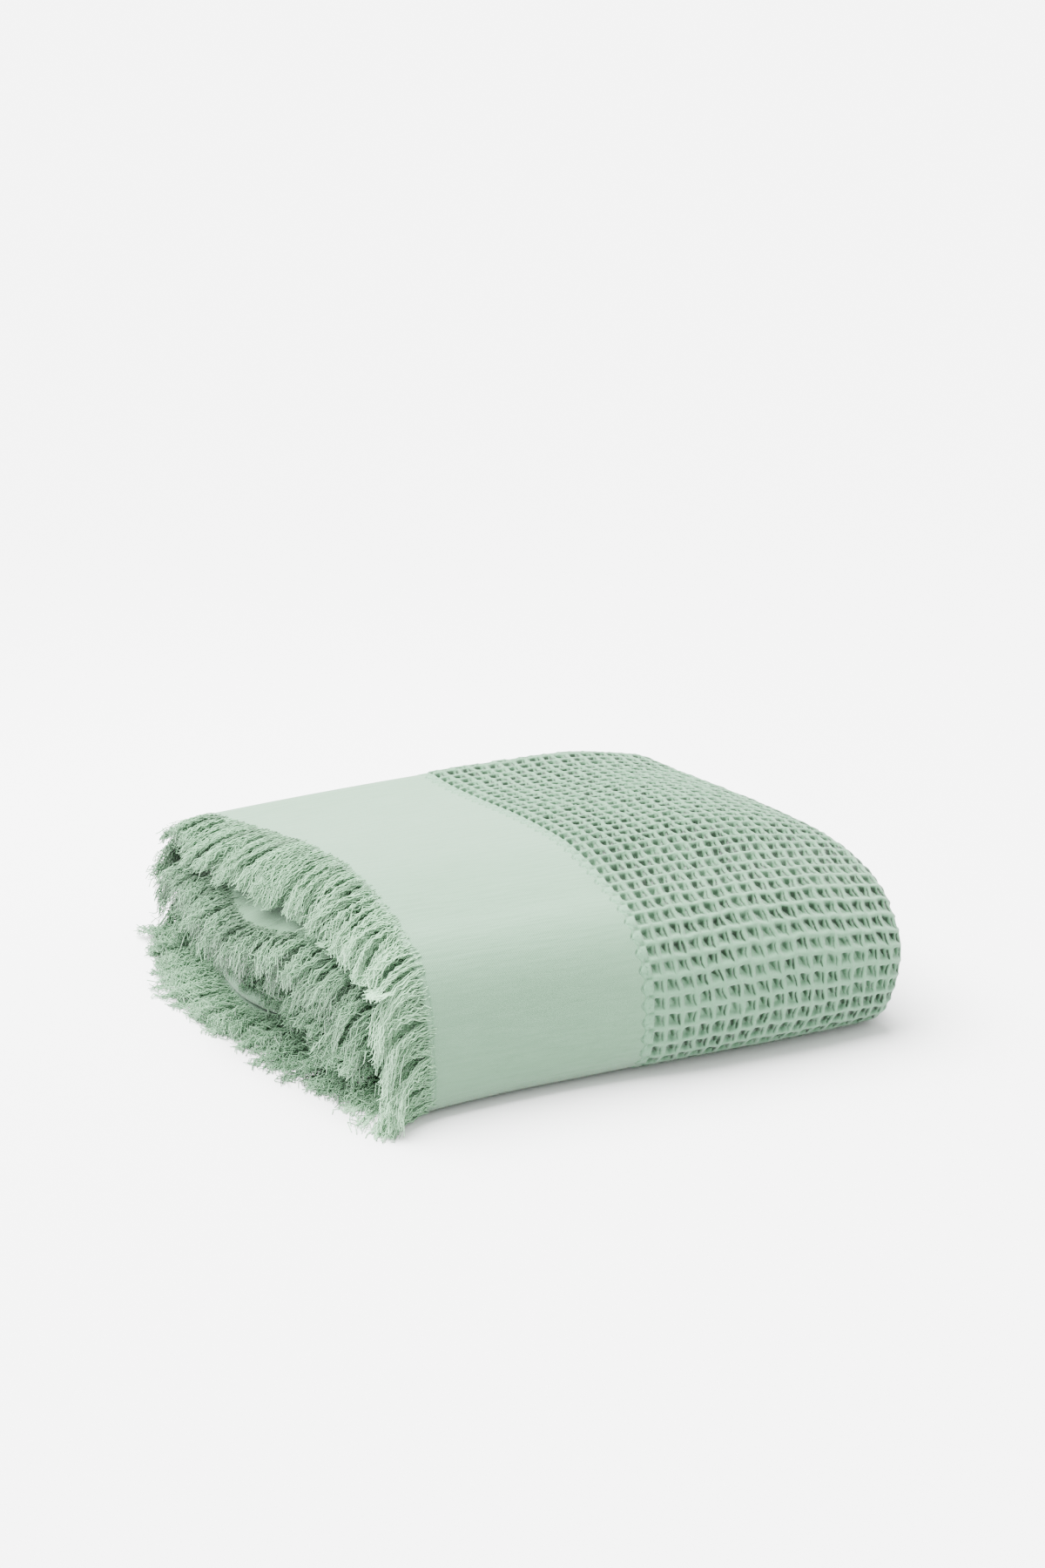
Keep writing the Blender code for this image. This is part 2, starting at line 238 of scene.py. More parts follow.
def bump(middle, width, value):
    """A round bump: 1 at the middle, near 0 past the width."""
    return np.exp(-(((value - middle) / width) ** 2))


def left_of(heading):
    return np.array([-heading[1], heading[0]])


def turned(arrow, angle):
    return arrow * math.cos(angle) + left_of(arrow) * math.sin(angle)


def corner_places():
    levels = column(TURNS, TURN_COLUMNS, "level")
    return np.stack([column(TURNS, TURN_COLUMNS, "y"), STACK_THICK / 2 + levels * PASS_PITCH], axis=1)


class Wrap:
    """The stack's middle line round its turns, in steps of about 1 mm: straight runs, and arcs at corners.

    place() and value() give what lies at any length along it."""

    def __init__(self):
        corners = corner_places()
        radii = column(TURNS, TURN_COLUMNS, "radius")
        along = np.diff(corners, axis=0)
        along = along / np.linalg.norm(along, axis=1)[:, None]
        stations = [(corners[0], left_of(along[0]), 0.0)]
        for i in range(1, len(corners) - 1):
            came, goes = along[i - 1], along[i]
            if radii[i] == 0.0:
                stations.append((corners[i], left_of(goes), float(i)))
                continue
            turn = math.atan2(came[0] * goes[1] - came[1] * goes[0], float(came @ goes))
            side = math.copysign(1.0, turn)
            start = corners[i] - came * radii[i] * math.tan(abs(turn) / 2)
            centre = start + side * radii[i] * left_of(came)
            pieces = max(2, round(math.degrees(abs(turn)) / ARC_STEP))
            for k in range(pieces + 1):
                outward = turned(left_of(came), turn * k / pieces)
                stations.append((centre - side * radii[i] * outward, outward, i + 0.5 * (k / pieces - 0.5)))
        stations.append((corners[-1], left_of(along[-1]), float(len(corners) - 1)))
        self.fill(stations)
        rows = np.arange(len(corners))
        self.row_lengths = np.interp(rows, self.rows, self.length)

    def fill(self, stations):
        places = [stations[0][0]]
        outward = [stations[0][1]]
        rows = [stations[0][2]]
        for (a, _, row_a), (b, normal, row_b) in zip(stations[:-1], stations[1:]):
            gap = float(np.linalg.norm(b - a))
            if gap < SAME_PLACE:
                continue
            pieces = max(1, math.ceil(gap / RUN_STEP))
            for k in range(1, pieces + 1):
                places.append(a + (b - a) * k / pieces)
                outward.append(normal)
                rows.append(row_a + (row_b - row_a) * k / pieces)
        self.places = np.array(places)
        self.outward = np.array(outward)
        self.rows = np.array(rows)
        steps = np.linalg.norm(np.diff(self.places, axis=0), axis=1)
        self.length = np.concatenate([[0.0], np.cumsum(steps)])

    def read(self, numbers, at):
        return np.interp(at, self.length, numbers)

    def place(self, at, out):
        """Depth and height at these lengths, moved outwards by out."""
        y = self.read(self.places[:, 0], at) + out * self.read(self.outward[:, 0], at)
        z = self.read(self.places[:, 1], at) + out * self.read(self.outward[:, 1], at)
        return y, z

    def value(self, name, at):
        """A column of the turns' table at these lengths, smooth between its rows."""
        return through(self.row_lengths, column(TURNS, TURN_COLUMNS, name), at)

    def at_row(self, row):
        """The length at which a row number of the turns' table lies."""
        return float(np.interp(row, self.rows, self.length))


def ramp(value, start, length, most=1.0):
    """Grows from 0 at the start, slowly at first, to 1 after the length."""
    return np.clip((value - start) / length, 0.0, most) ** 2


def ramp_down(value, start, length, most=1.0):
    """Grows in the same way as the value falls below the start."""
    return ramp(-value, -start, length, most)


def settle(x, y, z):
    """The even stack let down, in metres in the part's frame.

    As in the solids, heights go by the crown, the folded end and the back corner lie lower, and the foot of
    the front corner spreads on the floor. Besides, the folded end drops less at its front corner, and under
    the waffle the front bulges out over a tucked foot."""
    crown = through(column(CROWN, CROWN_COLUMNS, "y"), column(CROWN, CROWN_COLUMNS, "share"), y)
    end = ramp(x, *END_RAMP)
    corner = ramp(y, *BACK_RAMP) * ramp_down(x, *BACK_CORNER_RAMP)
    end_drop = END_DROP * (1 - CORNER_LESS_DROP * bump(CORNER_DEPTH, CORNER_WIDE, y))
    height = z * crown * (1 - end_drop * end) * (1 - BACK_CORNER_DROP * corner)
    foot = ramp_down(x, *SPREAD_CORNER_RAMP) * ramp_down(z, *SPREAD_LOW_RAMP)
    spread = SPREAD * foot * ramp_down(y, *SPREAD_FRONT_RAMP)
    depth = DEPTH_MIDDLE + (y - DEPTH_MIDDLE) * (1 - END_TUCK * end) - spread
    front = ramp_down(depth, *TUCK_FRONT_RAMP) * smooth_step(*UNDER_WAFFLE, x)
    tuck = TUCK * ramp_down(height, *TUCK_LOW_RAMP) - BULGE * bump(BULGE_HEIGHT, BULGE_WIDE, height)
    depth = depth + tuck * front
    return np.stack([x - ORIGIN_X, depth - ORIGIN_Y, height], axis=-1) * MM


def layer_height(layer):
    """How far a layer lies from the stack's middle: layer 0 is the outermost."""
    return STACK_THICK / 2 - CLOTH_THICK / 2 - layer * LAYER_PITCH


class Section:
    """The cloth's back-and-forth section through the four layers, by the length along the cloth.

    Runs out and back are straight, and the folds are half circles. at() gives the place along the stack and
    across it, with the direction in which the cloth's outer face looks."""

    FOLD_PIECES = 24

    def __init__(self):
        half = CLOTH_THICK / 2
        small = LAYER_PITCH / 2
        wide = layer_height(0)
        self.near = small + half
        self.far = SECTION_LENGTH - wide - half
        last = LAYERS - 1
        runs = (
            (0.0, self.far, 0),
            (self.far, self.near, last),
            (self.near, self.far, last - 1),
            (self.far, 0.0, 1),
        )
        folds = ((1.0, -1.0, wide), (-1.0, 1.0, small), (1.0, 1.0, small), None)
        rows = []
        for (start, end, layer), fold in zip(runs, folds):
            facing = math.copysign(1.0, end - start)
            rows += [(start, layer_height(layer), 0.0, facing), (end, layer_height(layer), 0.0, facing)]
            if fold is None:
                break
            side, upward, radius = fold
            for k in range(1, self.FOLD_PIECES):
                angle = math.pi * k / self.FOLD_PIECES
                place = (end + side * radius * math.sin(angle),
                         layer_height(layer) + upward * radius * (1 - math.cos(angle)))
                turn = -side * upward
                rows.append((*place, turn * side * math.sin(angle), -turn * upward * math.cos(angle)))
        self.rows = np.array(rows)
        steps = np.linalg.norm(np.diff(self.rows[:, :2], axis=0), axis=1)
        self.length = np.concatenate([[0.0], np.cumsum(steps)])
        self.wide_fold = (self.far, self.far + math.pi * wide)

    def at(self, along):
        return [np.interp(along, self.length, self.rows[:, k]) for k in range(4)]


WRAP = Wrap()
SECTION = Section()


def cloth(along, around, out):
    """A point of the cloth: along it from the first fringed edge, around the turns, and out from its middle.

    Near the fringed end it sinks by the table's sag."""
    place, height, face_x, face_n = SECTION.at(along)
    place = place + face_x * out
    height = height + face_n * out
    fringed = WRAP.value("fringed", around)
    folded = WRAP.value("folded", around)
    x = fringed + place / SECTION_LENGTH * (folded - fringed)
    y, z = WRAP.place(around, height)
    return settle(x, y, z - WRAP.value("sag", around) * ramp_down(place, SAG_LENGTH, SAG_LENGTH))


def along_at_column(across, around):
    """The length along the cloth at a column of the outer face.

    Columns stand straight up to a line near the folded end, and from there they follow the cloth's length."""
    fringed = WRAP.value("fringed", around)
    folded = WRAP.value("folded", around)
    straight = np.minimum(across, STRAIGHT_COLUMNS_END)
    length = (straight - fringed) / (folded - fringed) * SECTION_LENGTH
    return length + np.maximum(across - STRAIGHT_COLUMNS_END, 0.0)


class Rows:
    """Waffle rows round the turns, counted on the settled outer face: row 0 is high on the front turn, and
    the count grows downwards there."""

    def __init__(self):
        self.around = WRAP.length
        middle = along_at_column(np.full(len(self.around), ROWS_COUNTED_AT), self.around)
        points = cloth(middle, self.around, CLOTH_THICK / 2) / MM
        steps = np.linalg.norm(np.diff(points, axis=0), axis=1)
        length = np.concatenate([[0.0], np.cumsum(steps)])
        low, high = [WRAP.at_row(row) for row in FRONT_TURN_ROWS]
        front = (self.around > low) & (self.around < high)
        first = np.interp(FIRST_ROW_HEIGHT, points[front, 2], length[front])
        self.count = (first - length) / CELL_ROUND

    def at(self, around):
        return np.interp(around, self.around, self.count)

    def around_at(self, row):
        return np.interp(-np.asarray(row), -self.count, self.around)


ROWS = Rows()


CHANCE_WEIGHTS = (12.9898, 78.233, 37.719)
CHANCE_STRETCH = 43758.5453


def chance(*numbers):
    """A repeatable random number from 0 to 1 for each set of whole numbers."""
    mixed = sum(n * k for n, k in zip(numbers, CHANCE_WEIGHTS))
    return np.modf(np.abs(np.sin(mixed)) * CHANCE_STRETCH)[0]


def stroke(middle, width, value):
    """A soft line: 1 at its middle, 0 past its width on both sides."""
    return 1 - smooth_step(0.0, 1.0, np.abs(value - middle) / width)


def let_down(value, lowest, softness, flattest=-np.inf):
    """The value, let down softly to the lowest: unchanged where it is more than the softness above it."""
    room = (value - lowest) / softness
    return lowest + softness * np.where(room > 1, room, np.exp(np.clip(room, flattest, 1.0) - 1))


def waffle_relief(u, v):
    """How far the waffle face stands from the cloth's face, in millimetres.

    Round rows and columns of ridges stand between pits. In each pit a wedge runs down from the upper left to
    the middle, and a slit lies beside the right-hand ridge, with a thread between them. Cells differ a
    little. No pit is so deep that it reaches the core under it."""
    cell = chance(np.round(u), np.round(v))
    uneven = chance(np.round(u), np.floor(v), 5.0) - 0.5
    p = u - np.round(u)
    q = v - np.round(v)
    row_ridge = smooth_step(*ROW_RIDGE, np.abs(q + PIT_UP))
    column_ridge = smooth_step(*COLUMN_RIDGE, np.abs(p))
    ridge = 1 - (1 - row_ridge) * (1 - column_ridge)
    thread = stroke(THREAD_AT, THREAD_WIDE, p) * (1 - smooth_step(*THREAD_END, q))
    ridge = ridge + (1 - ridge) * THREAD_STANDS * thread
    ridge = ridge + (ROW_CREST + ROW_CREST_UNEVEN * uneven) * bump(0.5, ROW_CREST_WIDE, np.abs(q))
    ridge = ridge + COLUMN_CREST * bump(0.5, COLUMN_CREST_WIDE, np.abs(p))
    wedge = smooth_step(*WEDGE_LEFT, p - WEDGE_SLANT * q) * (1 - smooth_step(*WEDGE_RIGHT, p))
    wedge = wedge * smooth_step(*WEDGE_TOP, q) * (1 - smooth_step(*WEDGE_FOOT, q))
    slit = stroke(SLIT_AT, SLIT_WIDE, p) * stroke(0.0, SLIT_TALL, q)
    grooves = (WEDGE_DEEP * wedge + SLIT_DEEP * slit) * (GROOVES_LEAST + GROOVES_MORE * cell)
    depth = PIT_DEPTH * (DEPTH_LEAST + DEPTH_MORE * cell)
    depth = depth * (1 + TOP_DEEPER * smooth_step(*TOP_DEEPER_FROM, -v))
    relief = (ridge - 1 - grooves * (1 - GROOVES_END * row_ridge)) * depth + RIDGE_STANDS
    return let_down(relief, LOWEST_PIT, SOFT_PIT)


def face_out(u, v):
    """The outer face's distance from the cloth's middle: smooth on the band, and waffle past the scalloped
    line, which bulges towards the band at each row of pits. The first column is a row of puffs."""
    q = v - np.round(v)
    wave = np.cos(2 * math.pi * q)
    past_line = u - (BAND_END - SCALLOP * wave) / CELL_LENGTH
    puffs = smooth_step(*PUFFS_START, past_line) * (1 - smooth_step(*PUFFS_END, u))
    gap = PUFF_GAP_DEEP * bump(0.5, PUFF_GAP_WIDE, np.abs(q))
    puff = RIDGE_STANDS * (PUFF_STANDS + PUFF_SWELL * wave) - gap
    relief = waffle_relief(u, v) * (1 - puffs) + puff * puffs
    return CLOTH_THICK / 2 + relief * smooth_step(*LINE_STEP, past_line)


def grid_faces(rows, columns):
    """Four-sided faces over a grid of points that is stored row by row."""
    first = (np.arange(rows - 1)[:, None] * columns + np.arange(columns - 1)[None, :]).ravel()
    return np.stack([first, first + 1, first + columns + 1, first + columns], axis=1)


def make_mesh(name, points, faces, uv=None, values=None, normals=None):
    """A mesh from arrays: points, faces of one size, and each point's uv pair, named values and normal."""
    mesh = bpy.data.meshes.new(name)
    size = faces.shape[1]
    mesh.vertices.add(len(points))
    mesh.vertices.foreach_set("co", points.astype(np.float32).ravel())
    mesh.loops.add(faces.size)
    mesh.loops.foreach_set("vertex_index", faces.astype(np.int32).ravel())
    mesh.polygons.add(len(faces))
    mesh.polygons.foreach_set("loop_start", np.arange(0, faces.size, size, dtype=np.int32))
    mesh.update(calc_edges=True)
    if uv is not None:
        layer = mesh.uv_layers.new(name="weave")
        layer.data.foreach_set("uv", uv[faces.ravel()].astype(np.float32).ravel())
    for key, numbers in (values or {}).items():
        attribute = mesh.attributes.new(key, "FLOAT", "POINT")
        attribute.data.foreach_set("value", numbers.astype(np.float32).ravel())
    mesh.shade_smooth()
    if normals is not None:
        mesh.normals_split_custom_set_from_vertices(normals.astype(np.float32))
    mesh.validate()
    thing = bpy.data.objects.new(name, mesh)
    bpy.context.scene.collection.objects.link(thing)
    return thing


def dress(thing, material, node):
    thing.data.materials.append(material)
    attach(thing, "root")
    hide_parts(node)
    return thing


# The pieces

CORE_STEP_ON_TURNS = 2.2
CORE_STEP_ON_RUNS = 11.0
CORE_STEPS_AT_EDGE = (0.0, 0.4, 1.2, 4.0, 12.0, 40.0, 80.0, 120.0)
CORE_MIDDLE_FROM = 150.0
CORE_MIDDLE_MARGIN = 130.0
CORE_MIDDLE_STEP = 45.0
CORE_UNDER_BAND = 2.0
CORE_EDGE_LEAST = 0.02
COVERED_BAND_DROP = 0.6
COVERED_UNTIL = 6.0
SKIN_LAST_ROW = 10.4
EDGE_ROUND = 1.4
EDGE_INSIDE = 1.0
NORMAL_REACH = 0.3
END_STEP = 1.5
END_MARGIN = 8.0


def even_steps(on_turns, on_runs):
    """Lengths round the turns, closer together where the stack bends."""
    bends = np.linalg.norm(np.diff(WRAP.outward, axis=0), axis=1) > NO_BEND
    steps = np.diff(WRAP.length) / np.where(bends, on_turns, on_runs)
    passed = np.concatenate([[0.0], np.cumsum(steps)])
    return np.interp(np.linspace(0.0, passed[-1], math.ceil(passed[-1]) + 1), passed, WRAP.length)


def core_lengths():
    """Lengths along the cloth for its closed core: close together at the edges and folds."""
    bend = np.flatnonzero(SECTION.rows[:, 2] != 0.0)
    straight = np.flatnonzero(SECTION.rows[:, 2] == 0.0)
    near_edge = np.array(CORE_STEPS_AT_EDGE)
    total = SECTION.length[-1]
    middle = np.arange(CORE_MIDDLE_FROM, total - CORE_MIDDLE_MARGIN, CORE_MIDDLE_STEP)
    lengths = [near_edge, SECTION.length[straight], SECTION.length[bend[::2]], middle, total - near_edge]
    return np.unique(np.concatenate(lengths).round(4))


def waver(waves, u, v):
    """A sum of slow sine waves over the cells and rows."""
    return sum(far * np.sin(2 * math.pi * (by_u * u + by_v * v) + start) for far, by_u, by_v, start in waves)


def lattice_place(across, around):
    """Cells along the length and rows round the turns: nearly even, with the slow waver of handled cloth."""
    u = (across - PIT_ASIDE) / CELL_LENGTH
    v = ROWS.at(around)
    inside = smooth_step(*WAVER_FROM, u)
    return u + waver(LENGTH_WAVES, u, v) * inside, v + waver(ROUND_WAVES, u, v) * inside


def lattice_uv(along, around):
    """The weave's coordinates over the core, for its patterns."""
    fringed = WRAP.value("fringed", around)
    x = fringed + SECTION.at(along)[0] / SECTION_LENGTH * (WRAP.value("folded", around) - fringed)
    return np.stack(lattice_place(x, around), axis=-1)


def cloth_core(material):
    """The whole sheet as one closed slab, back and forth through its layers and round its turns.

    Its outer face lies lower where the waffle face and the band face cover it."""
    along = core_lengths()
    around = even_steps(CORE_STEP_ON_TURNS, CORE_STEP_ON_RUNS)
    total = SECTION.length[-1]
    from_edge = np.minimum(along, total - along)
    half = CLOTH_THICK / 2 * np.sqrt(np.clip(from_edge / EDGE_ROUND, CORE_EDGE_LEAST, 1.0))
    band_end = along_at_column(np.full_like(around, BAND_END - CORE_UNDER_BAND), around)[:, None]
    waffle = (along > band_end) & (along < SECTION.wide_fold[1] + END_MARGIN)
    covered = 1 - smooth_step(0.0, COVERED_UNTIL, around - WRAP.at_row(SKIN_LAST_ROW))
    band = (along < band_end) * covered[:, None]
    outer = np.where(waffle, CORE_OUT, half - COVERED_BAND_DROP * band)
    inner = np.broadcast_to(-half, outer.shape)
    ring_out = np.concatenate([outer, inner[:, ::-1]], axis=1)
    grid_along, grid_around = np.meshgrid(np.concatenate([along, along[::-1]]), around)
    points = cloth(grid_along, grid_around, ring_out).reshape(-1, 3)
    rows, columns = grid_along.shape
    index = np.arange(rows)[:, None] * columns + np.arange(columns + 1)[None, :] % columns
    sides = np.stack([index[:-1, :-1], index[:-1, 1:], index[1:, 1:], index[1:, :-1]], axis=-1).reshape(-1, 4)
    k = np.arange(len(along) - 1)
    cap = np.stack([k, columns - 1 - k, columns - 2 - k, k + 1], axis=1)
    faces = np.concatenate([sides, cap, cap[:, ::-1] + (rows - 1) * columns])
    uv = lattice_uv(grid_along, grid_around).reshape(-1, 2)
    edge = np.minimum(grid_along, total - grid_along).ravel()
    thing = make_mesh("blanket_cloth", points, faces, uv, {"from_edge": edge})
    return dress(thing, material, "blanket")


FLOOR_GAP = 0.05
HEM_WIDE = 4.2
HEM_LINE = 0.5
HEM_DEEP = 0.3
HEM_COLUMNS = (0.0, 0.2, 0.6, 1.2, 2.0, 3.2, 3.7, 4.2, 4.7, 5.2, 7.0)
FACE_FIRST_COLUMN = -20.25
FACE_LAST_COLUMN = 175.5
BAND_COLUMNS = 34
FLOOR_ROW = 9.5
SHOULDER_ROW = -4.5
BACK_TOP_ROW = -31.5
FRONT_STEPS = 12
TOP_STEPS = 9
TOP_ROW_STEPS = 10
BACK_ROW_STEPS = 6
UNDER_ROW_STEPS = 3


def on_floor(points):
    """Presses what would lie below the floor flat on it, as the weight of the stack does."""
    height = np.maximum(points[..., 2:], FLOOR_GAP * MM)
    return np.concatenate([points[..., :2], height], axis=-1)


def outer_face(name, place, across, around, material):
    """The sheet's visible face over a grid, with its exact normals from the slopes of the formula.

    place turns a grid column into a length along the cloth. The face stands out from the cloth's middle by
    face_out, is pressed in along the hem line, and rounds down at the cloth's own edges."""

    def surface(c, a):
        along = place(c, a)
        out = face_out(*lattice_place(c, a)) - HEM_DEEP * bump(HEM_WIDE, HEM_LINE, along)
        edge = np.minimum(along, np.minimum(a, WRAP.length[-1] - a)) / EDGE_ROUND
        rounded = (out + EDGE_INSIDE) * np.sqrt(np.clip(edge, 0.0, 1.0)) - EDGE_INSIDE
        return on_floor(cloth(along, a, rounded))

    points = surface(across, around)
    reach = NORMAL_REACH
    slope_across = surface(across + reach, around) - surface(across - reach, around)
    slope_around = surface(across, around + reach) - surface(across, around - reach)
    normals = np.cross(slope_across, slope_around)
    normals = normals / np.maximum(np.linalg.norm(normals, axis=-1), TINY)[..., None]
    uv = np.stack(lattice_place(across, around), axis=-1).reshape(-1, 2)
    values = {"from_edge": place(across, around).ravel()}
    faces = grid_faces(*across.shape)
    thing = make_mesh(name, points.reshape(-1, 3), faces, uv, values, normals.reshape(-1, 3))
    return dress(thing, material, "blanket")


def rows_between(first, last, steps):
    """Even rows of the lattice, so many to a cell, from the first to the last as the turns go."""
    count = max(1, round(abs(last - first) * steps))
    return np.linspace(first, last, count + 1)


def band_grid(around):
    """Columns of the plain band, from the fringed edge to the first waffle column, closest beside the hem."""
    hem = np.array(HEM_COLUMNS)
    fringed = WRAP.value("fringed", around)[:, None]
    rest = np.linspace(0.0, 1.0, BAND_COLUMNS)[None, 1:] * (FACE_FIRST_COLUMN - fringed - hem[-1])
    across = np.concatenate([fringed + hem[None, :], fringed + hem[-1] + rest], axis=1)
    return across, np.broadcast_to(around[:, None], across.shape)


def visible_faces(material):
    """The band and the waffle over the under side, the front turn, the top and the back turn."""
    front_rows = np.concatenate([
        rows_between(float(ROWS.at(0.0)), FLOOR_ROW, UNDER_ROW_STEPS)[:-1],
        rows_between(FLOOR_ROW, SHOULDER_ROW, FRONT_STEPS),
    ])
    top_rows = np.concatenate([
        rows_between(SHOULDER_ROW, BACK_TOP_ROW, TOP_ROW_STEPS)[:-1],
        rows_between(BACK_TOP_ROW, float(ROWS.at(WRAP.at_row(SKIN_LAST_ROW))), BACK_ROW_STEPS),
    ])
    made = []
    for name, rows, steps in (("front", front_rows, FRONT_STEPS), ("top", top_rows, TOP_STEPS)):
        around = ROWS.around_at(rows)
        step = CELL_LENGTH / steps
        columns = np.arange(FACE_FIRST_COLUMN, FACE_LAST_COLUMN + step / 2, step)
        waffle = np.meshgrid(columns, around)
        made.append(outer_face(f"waffle_{name}", along_at_column, *waffle, material))
        made.append(outer_face(f"band_{name}", along_at_column, *band_grid(around), material))
    return made


def folded_ends(material):
    """The waffle face round the wide fold of the passes inside the stack, which show at the folded end."""
    along = np.arange(SECTION.wide_fold[0] - END_MARGIN, SECTION.wide_fold[1] + END_MARGIN, END_STEP)
    around = np.arange(WRAP.at_row(SKIN_LAST_ROW) - END_STEP, WRAP.length[-1], END_STEP)
    return outer_face("waffle_ends", lambda c, a: c, *np.meshgrid(along, around), material)


# The fringe: locks of fine crimped yarns. First come the locks and the yarns' thickness, then where yarns
# start, how they bend, draw together, spread and crimp, how they lie on what is below, and their tones with
# the painted light and shade they carry

LOCK_PITCH = 6.3
LOCK_HALF = 0.55
YARN_RINGS = 11
YARN_SIDES = 3
YARN_THICK = 0.74
YARN_THICK_SHARES = (0.6, 1.15)
TIP_SHARE = 0.75
ROOT_MARGIN = 0.3
ROOT_INSIDE = 1.0
ROOT_OUT = 1.3
WISP_LENGTH = 5.0
WISP_OUT = 1.8
BEND_DEGREES = 62.0
GATHER = 0.60
GATHERED_UNTIL = 1.1
SPLAY_LATE = 2.5
LEAN_LATE = 1.4
CRIMP = 0.78
CRIMP_AT_ROOT = 0.6
CRIMP_GROWS = 0.9
CRIMP_OUT = 0.8
CRIMP_TURNS = 4.6
FLAT_MORE_CRIMPED = 1.5
STRAY_SHARE = 0.2
STRAY_MORE = 2.6
SOFT_LANDING = 1.5
DEEPEST_LANDING = -4.0
TIP_HEIGHT = 0.5
INNER_SHORTER = 0.10
INNER_STRAIGHTER = 0.7
# Painted shade on the yarns of the edge that lies behind
PAINTED_SHADE_BEHIND = 0.5
LOCK_SHADES = 0.65
YARN_SHADES = 0.50
ACROSS_YARNS = (0.1, 0.9, 0.42)
FIRST_SEED = 3

# How unlike the locks are, and the yarns of a lock: shares of the table's value for reach, hang and lean, and
# otherwise millimetres, turns of crimp, or radians for where the crimp starts
LOCK_SPREADS = {
    "root": 0.5,
    "reach": 0.12,
    "hang": 0.15,
    "lean": 0.35,
    "curl": 3.2,
    "late_curl": 4.2,
    "crimp_turns": 0.7,
    "crimp_start": 3.0,
    "across": 1.2,
}
YARN_SPREADS = {
    "reach": 0.06,
    "hang": 0.08,
    "drop": 0.9,
    "late_curl": 1.0,
    "splay": 2.1,
    "crimp_turns": 0.4,
    "crimp_start": 1.7,
    "crimp": 0.42,
    "across": 0.5,
    "splay_across": 1.0,
}

# Rows of the turns' table: those of the bottom pass, and where its flat yarns end; the top pass, whose yarns
# lie on the fourth; the second pass, whose yarns lie on the bottom one; and those of the fourth pass
BOTTOM_ROWS = 5
BOTTOM_LAST_ROW = 3.5
TOP_ROWS = (5.0, 8.8)
SECOND_ROWS = (10.5, 12.2)
FOURTH_ROWS = slice(13, 18)
TOP_FOLLOWS_SAG = 0.25

# Where the sheet's first edge is the one that shows; the second lies behind it and gets painted shade
OUTER_SHOWS = ((3.5, 9.5), (12.5, 18.0))

# The stretches of fringe: the first and last row, the yarns to a lock, and how much paler they are along it,
# as painted light where the value is above 0 and painted shade where it is below
STRETCHES = (
    ("bottom", (0, BOTTOM_LAST_ROW), 18, (-0.05, 0.45, -0.55)),
    ("front", (BOTTOM_LAST_ROW, 6.0), 22, (1.45, 1.50, 0.05)),
    ("top", (6.0, 8.6), 20, (0.0, -0.35)),
    ("back", (8.6, 10.6), 26, (-0.35, -0.6)),
    ("second", (10.6, 12.5), 12, (-0.1, -0.1)),
    ("fourth", (12.5, 17.0), 14, (-0.35, -1.1)),
    ("inner", (17.0, len(TURNS) - 1), 6, (0.0, 0.0)),
)


def lowest_for(row, x, y):
    """How low a yarn may come, by the pass it belongs to: the floor, or the face of the pass below it."""
    depths = column(TURNS, TURN_COLUMNS, "y")
    edge_x = column(TURNS, TURN_COLUMNS, "fringed")[:BOTTOM_ROWS][::-1]
    over_bottom = x > np.interp(y, depths[:BOTTOM_ROWS][::-1], edge_x)
    sag = np.interp(y, depths[FOURTH_ROWS], column(TURNS, TURN_COLUMNS, "sag")[FOURTH_ROWS])
    below_top = STACK_THICK + PASS_PITCH * 3
    low = np.where((row > TOP_ROWS[0]) & (row < TOP_ROWS[1]), below_top - TOP_FOLLOWS_SAG * sag, 0.0)
    low = np.where((row > SECOND_ROWS[0]) & (row < SECOND_ROWS[1]) & over_bottom, STACK_THICK, low)
    return low + TIP_HEIGHT


def yarn_frame(root, out):
    """Where yarns start, and the directions round the turns and out of the stack, as depth and height."""
    place = np.stack(WRAP.place(root, out), axis=-1)
    ahead = np.stack(WRAP.place(root + 1.0, out), axis=-1) - np.stack(WRAP.place(root - 1.0, out), axis=-1)
    outward = np.stack(WRAP.place(root, out + 1.0), axis=-1) - place
    return place, ahead / np.linalg.norm(ahead, axis=-1)[..., None], outward


